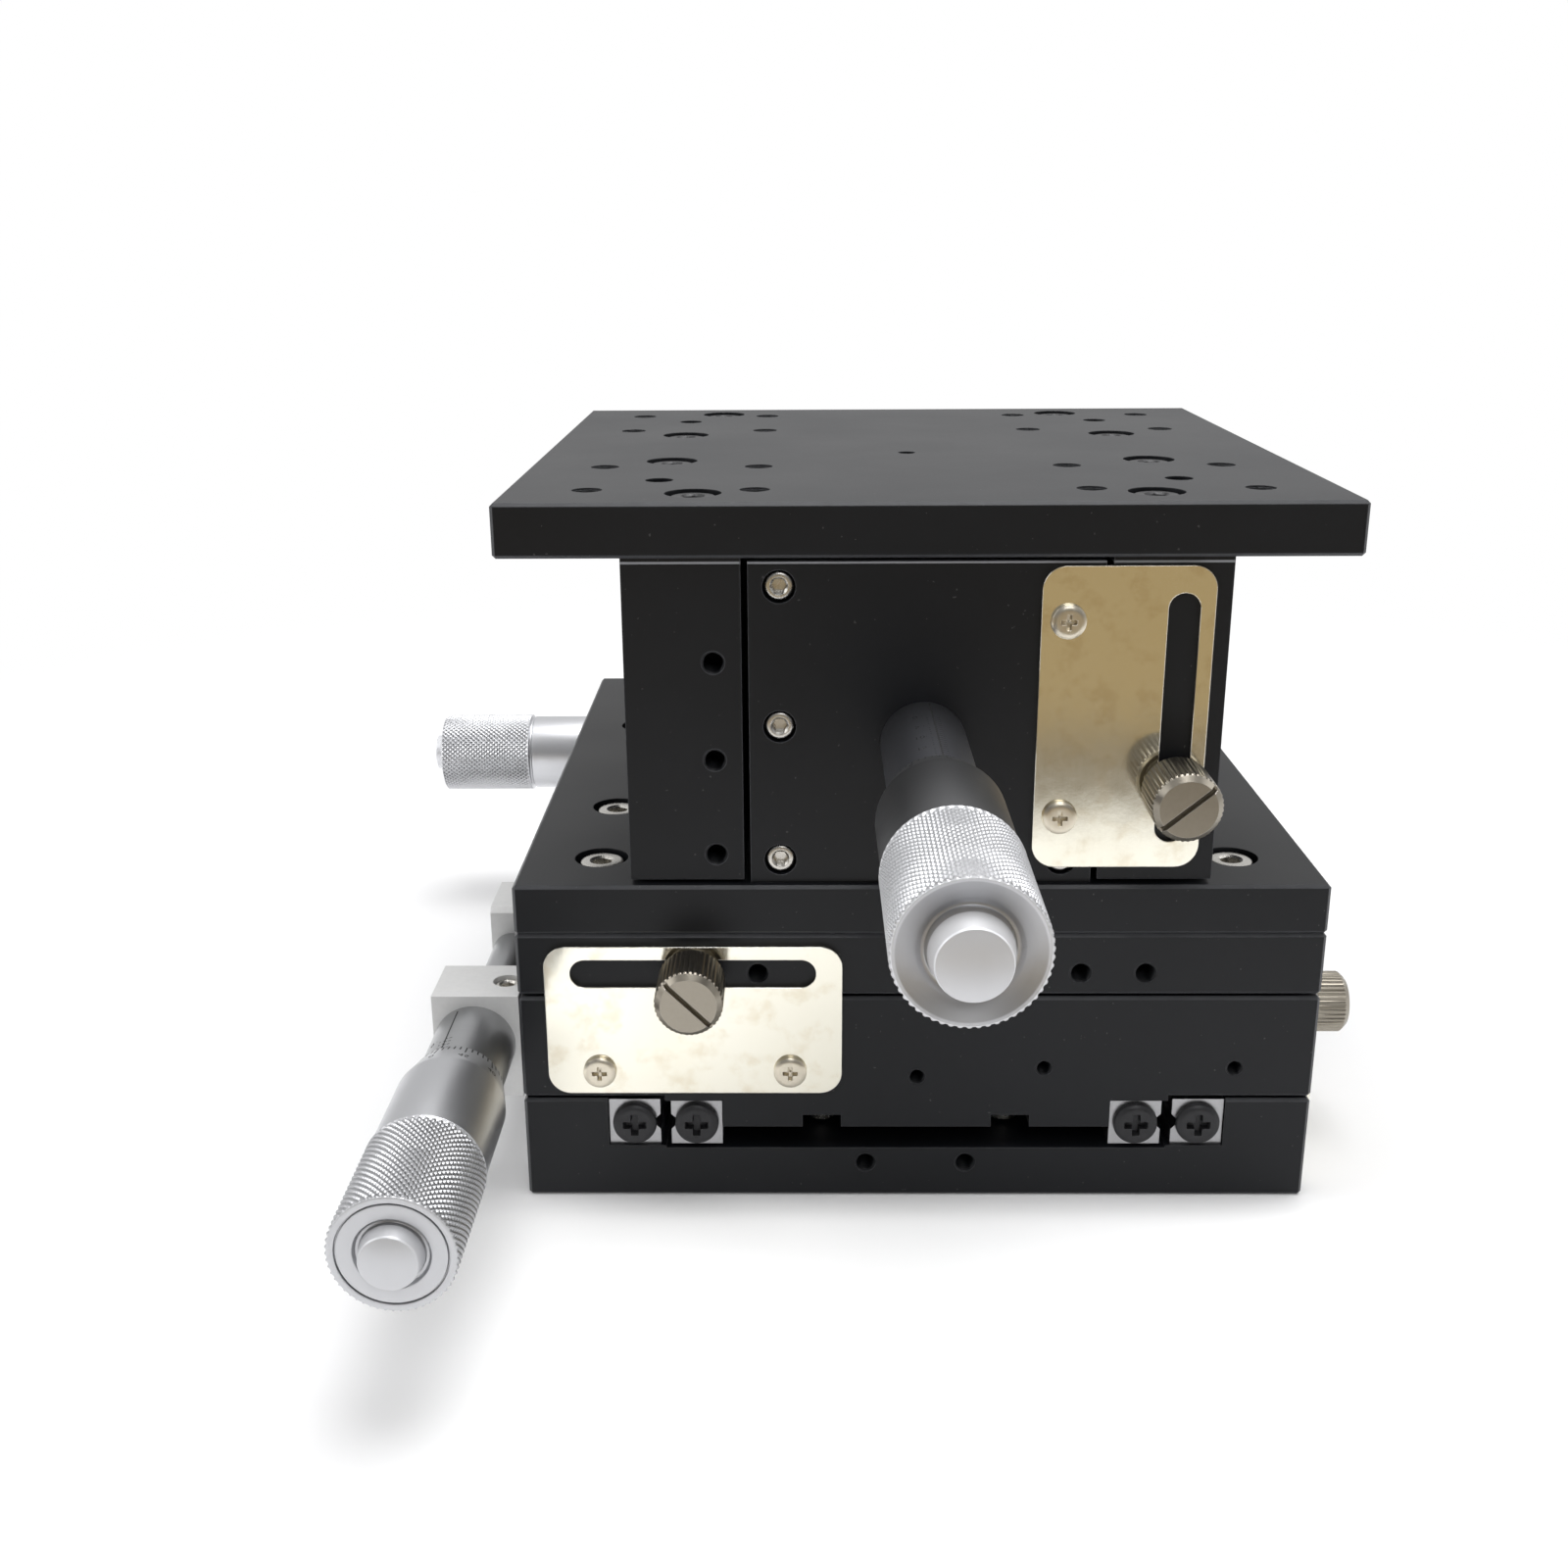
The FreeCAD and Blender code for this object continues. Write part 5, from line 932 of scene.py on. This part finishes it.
def spring_eye(middle, across):
    """A ring of wire round a post: a circle of radius r around a circle of radius R."""
    section = np.arange(8) * TURN / 8
    profile = np.stack([SPRING_WIRE * np.sin(section), SPRING_EYE + SPRING_WIRE * np.cos(section)], axis=1)
    return closed_band(placed(turned_grid(profile, 32), middle, across))


def spring_post(points, middle):
    """A round post with a neck that holds a spring's eye, in the place of a CAD post, and its axis."""
    low, size = points.min(axis=0), np.ptp(points, axis=0)
    along = int(np.argmax(size))
    across = np.eye(3)[along]
    radius, length, level = np.delete(size, along).max() / 2, size[along], (middle - low)[along]
    neck = SPRING_RADIUS - 2 * SPRING_WIRE
    profile = softened([(0, 0.01), (0, radius), (level - 0.5, radius), (level - 0.45, neck),
                        (level + 0.45, neck), (level + 0.5, radius), (length, radius), (length, 0.01)], 0.2)
    origin = np.where(across > 0, low, box_middle(points))
    return across, turned_shell(turned_grid(profile, 32), 0, length, origin, across)


def return_springs(node):
    """The springs of a CAD node, stretched from its body's own posts to the posts of the moving body."""
    along = "xyz".index(node[0])
    own_posts, springs, coils, fixed_posts = [], [], [], []
    for points in solids_of(node):
        (own_posts if np.ptp(points[:, along]) < LONGEST_POST else springs).append(points)
    middles = np.array([box_middle(points) for points in own_posts])
    for points in springs:
        ends = np.repeat([box_middle(points)], 2, axis=0)
        ends[:, along] = points[:, along].min() + SPRING_RADIUS, points[:, along].max() - SPRING_RADIUS
        far = np.linalg.norm(middles[None] - ends[:, None], axis=-1)
        near_end, near_post = np.unravel_index(far.argmin(), far.shape)
        fixed, moving = ends[near_end], ends[1 - near_end]
        across, post = spring_post(own_posts[near_post], fixed)
        fixed_posts.append(post)
        coils += [coil_spring(fixed, moving), spring_eye(fixed, across), spring_eye(moving, across)]
    piece = make_piece(node, "_coils", coils, "spring", 60, rides=False)
    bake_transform(piece)
    piece = make_piece(node, "_fixed_posts", fixed_posts, "screw")
    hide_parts(node)


def hole_thread(mouth, inward, hole, depth):
    """The thread of a tapped hole, a band whose back lies inside the plate.

    radius = hole - height (1 - |2 ((place / pitch - a / 2 pi) mod 1) - 1|)
    """
    pitch = LARGE_PITCH if hole > LARGE_SHANK else SMALL_HOLE_PITCH
    rows = int(depth / (pitch / 4))
    start, back, height = 0.15, hole + 0.12, 0.3

    def thread(radius, angle, place):
        ridge = height * ridged(place / pitch - angle / TURN)
        return np.where(radius < hole + 0.01, radius - ridge, radius)

    profile = np.vstack([straight(start, depth, rows, hole), [(depth, back), (start, back)]])
    return closed_band(placed(turned_grid(profile, 20, thread), mouth, inward))


class STAGE_OT_finishes(bpy.types.Operator):
    """Finishes of all CAD pieces that stay"""

    bl_idname = "stage.finishes"
    bl_label = "Finishes"

    def execute(self, context):
        for name, nodes in FINISHES.items():
            for node in nodes:
                mesh = frame["nodes"][node].data
                mesh.materials.clear()
                mesh.materials.append(material(name))
        return {"FINISHED"}


class STAGE_OT_thimbles(bpy.types.Operator):
    """The three knurled thimbles"""

    bl_idname = "stage.thimbles"
    bl_label = "Thimbles"

    def execute(self, context):
        for letter in HEADS:
            knurled_thimble(letter)
        return {"FINISHED"}


class STAGE_OT_scales(bpy.types.Operator):
    """Marks and numbers of the thimbles and sleeves"""

    bl_idname = "stage.scales"
    bl_label = "Scales"

    def execute(self, context):
        for letter in HEADS:
            thimble_marks(letter)
            sleeve_marks(letter)
        return {"FINISHED"}


class STAGE_OT_knobs(bpy.types.Operator):
    """Straight knurl of the clamp knobs"""

    bl_idname = "stage.knobs"
    bl_label = "Clamp knobs"

    def execute(self, context):
        for letter in KNOB_HEADS:
            knob_ribs(letter)
        return {"FINISHED"}


class STAGE_OT_screws(bpy.types.Operator):
    """Cap screws, pan screws and rail end screws"""

    bl_idname = "stage.screws"
    bl_label = "Screws"

    def execute(self, context):
        for kind, finish, nodes in SCREWS:
            for node in nodes:
                screws(node, kind, finish)
        return {"FINISHED"}


class STAGE_OT_springs(bpy.types.Operator):
    """Return springs, stretched between their two bodies"""

    bl_idname = "stage.springs"
    bl_label = "Return springs"

    def execute(self, context):
        for node, posts in zip(SPRINGS, POSTS):
            return_springs(node)
        return {"FINISHED"}


class STAGE_OT_threads(bpy.types.Operator):
    """Threads in the open tapped holes"""

    bl_idname = "stage.threads"
    bl_label = "Threads"

    def execute(self, context):
        bands = {}
        for node, *hole in OPEN_HOLES:
            bands.setdefault(node, []).append(hole_thread(*hole))
        for node, parts in bands.items():
            make_piece(node, "_threads", parts, "threads", 50)
        return {"FINISHED"}


class STAGE_OT_studio(bpy.types.Operator):
    """Floor, soft lamps, world and the camera of the photograph"""

    bl_idname = "stage.studio"
    bl_label = "Studio"

    def execute(self, context):
        scene = context.scene
        scene.view_settings.view_transform = "Standard"
        self.floor()
        self.world(scene)
        for name, (place, size, power) in LAMPS.items():
            lamp = bpy.data.lights.new(name, "AREA")
            lamp.shape = "SQUARE"
            lamp.size = size
            lamp.energy = power
            holder = bpy.data.objects.new(name, lamp)
            scene.collection.objects.link(holder)
            holder.location = place
            holder.rotation_euler = (LAMP_AIM - Vector(place)).to_track_quat("-Z", "Y").to_euler()
        self.camera(scene)
        return {"FINISHED"}

    def floor(self):
        """A white floor that fades to pure white away from the stage, as the camera sees it, and glows in
        front of the base: painted light that lifts the shadow there.

        Glossy rays see a faint glow on its left half and a dim, warm room in front of the camera.
        """
        mesh = bpy.data.meshes.new("floor")
        low, high = -FLOOR_REACH, FLOOR_REACH
        mesh.from_pydata([(low, low, 0), (high, low, 0), (high, high, 0), (low, high, 0)], [], [(0, 1, 2, 3)])
        finish = Finish("white floor")

        def emission(colour, strength):
            return finish.node("ShaderNodeEmission", None, {"Color": colour, "Strength": strength})

        def mixed(share, first, second):
            return finish.node("ShaderNodeMixShader", None, {0: share, 1: first, 2: second})

        finish.shade(Base_Color=tint((0.86, 0.86, 0.865)), Roughness=0.6, Specular_IOR_Level=0.2)
        camera, glossy, white = finish.ray("Camera"), finish.ray("Glossy"), (1, 1, 1, 1)
        x, y = finish.axis("X"), finish.axis("Y")
        distance = finish.value("ShaderNodeVectorMath", {"operation": "LENGTH"}, {0: finish.place}, "Value")
        far = distance.between(0.20, 0.42)
        room = y.between(-0.225, -0.27)
        left = x.between(0.0, -0.06)
        # Painted light: the camera sees the floor glow in front of the base, which lifts the shadow there.
        front = y.between(-0.062, -0.072) * x.between(-0.085, -0.035)
        dusk = finish.colours((0.22, 0.19, 0.145, 1), (0.39, 0.30, 0.165, 1), y.between(-0.28, -0.36))
        glow = emission(white, camera * (0.06 + 0.30 * front) + 0.16 * glossy * left)
        lit = finish.node("ShaderNodeAddShader", None, {0: finish.shader.outputs[0], 1: glow})
        seen = mixed(camera * far, lit, emission(white, 1.0))
        finish.join(finish.tree.nodes["Material Output"].inputs["Surface"],
                    mixed(glossy * room, seen, emission(dusk, 1.0)))
        mesh.materials.append(finish.material)
        floor = bpy.data.objects.new("floor", mesh)
        bpy.context.scene.collection.objects.link(floor)

    def world(self, scene):
        """White where the camera looks, and otherwise dim in front and brighter behind."""
        world = scene.world or bpy.data.worlds.new("studio")
        scene.world = world
        world.use_nodes = True
        nodes = Nodes(world.node_tree, "Generated")
        room = 0.20 + 0.52 * nodes.axis("Y").between(-0.75, 0.15)
        background = nodes.tree.nodes["Background"]
        nodes.join(background.inputs["Strength"], room + nodes.ray("Camera") * (1 - room))
        nodes.join(background.inputs["Color"], (1, 1, 1, 1))

    def camera(self, scene):
        """The photograph's camera, turned by yaw, tipped down by pitch and rolled about its view."""
        lens = bpy.data.cameras.new("camera")
        lens.lens = CAMERA_LENS
        lens.sensor_width = 36
        camera = bpy.data.objects.new("camera", lens)
        scene.collection.objects.link(camera)
        yaw, roll = Matrix.Rotation(-CAMERA_YAW, 4, "Z"), Matrix.Rotation(CAMERA_ROLL, 4, "Z")
        pitch = Matrix.Rotation(TURN / 4 - CAMERA_PITCH, 4, "X")
        camera.matrix_world = Matrix.Translation(CAMERA_PLACE) @ yaw @ pitch @ roll
        scene.camera = camera


OPERATORS = (STAGE_OT_finishes, STAGE_OT_thimbles, STAGE_OT_scales, STAGE_OT_knobs, STAGE_OT_screws,
             STAGE_OT_springs, STAGE_OT_threads, STAGE_OT_studio)


class STAGE_PT_looks(bpy.types.Panel):
    """Everything that makes up the looks of the stage"""

    bl_idname = "STAGE_PT_looks"
    bl_label = "Micrometer stage"
    bl_space_type = "VIEW_3D"
    bl_region_type = "UI"
    bl_category = "Stage"

    def draw(self, context):
        for key in StageLooks.__annotations__:
            self.layout.prop(context.scene.stage_looks, key)
        for operator in OPERATORS:
            self.layout.operator(operator.bl_idname)


CLASSES = (StageLooks,) + OPERATORS + (STAGE_PT_looks,)


def register():
    for kind in CLASSES:
        bpy.utils.register_class(kind)
    bpy.types.Scene.stage_looks = PointerProperty(type=StageLooks)


def unregister():
    del bpy.types.Scene.stage_looks
    for kind in reversed(CLASSES):
        bpy.utils.unregister_class(kind)


def main():
    register()
    bpy.ops.stage.finishes()
    bpy.ops.stage.thimbles()
    bpy.ops.stage.scales()
    bpy.ops.stage.knobs()
    bpy.ops.stage.screws()
    bpy.ops.stage.springs()
    bpy.ops.stage.threads()
    bpy.ops.stage.studio()


if __name__ == "__main__":
    main()
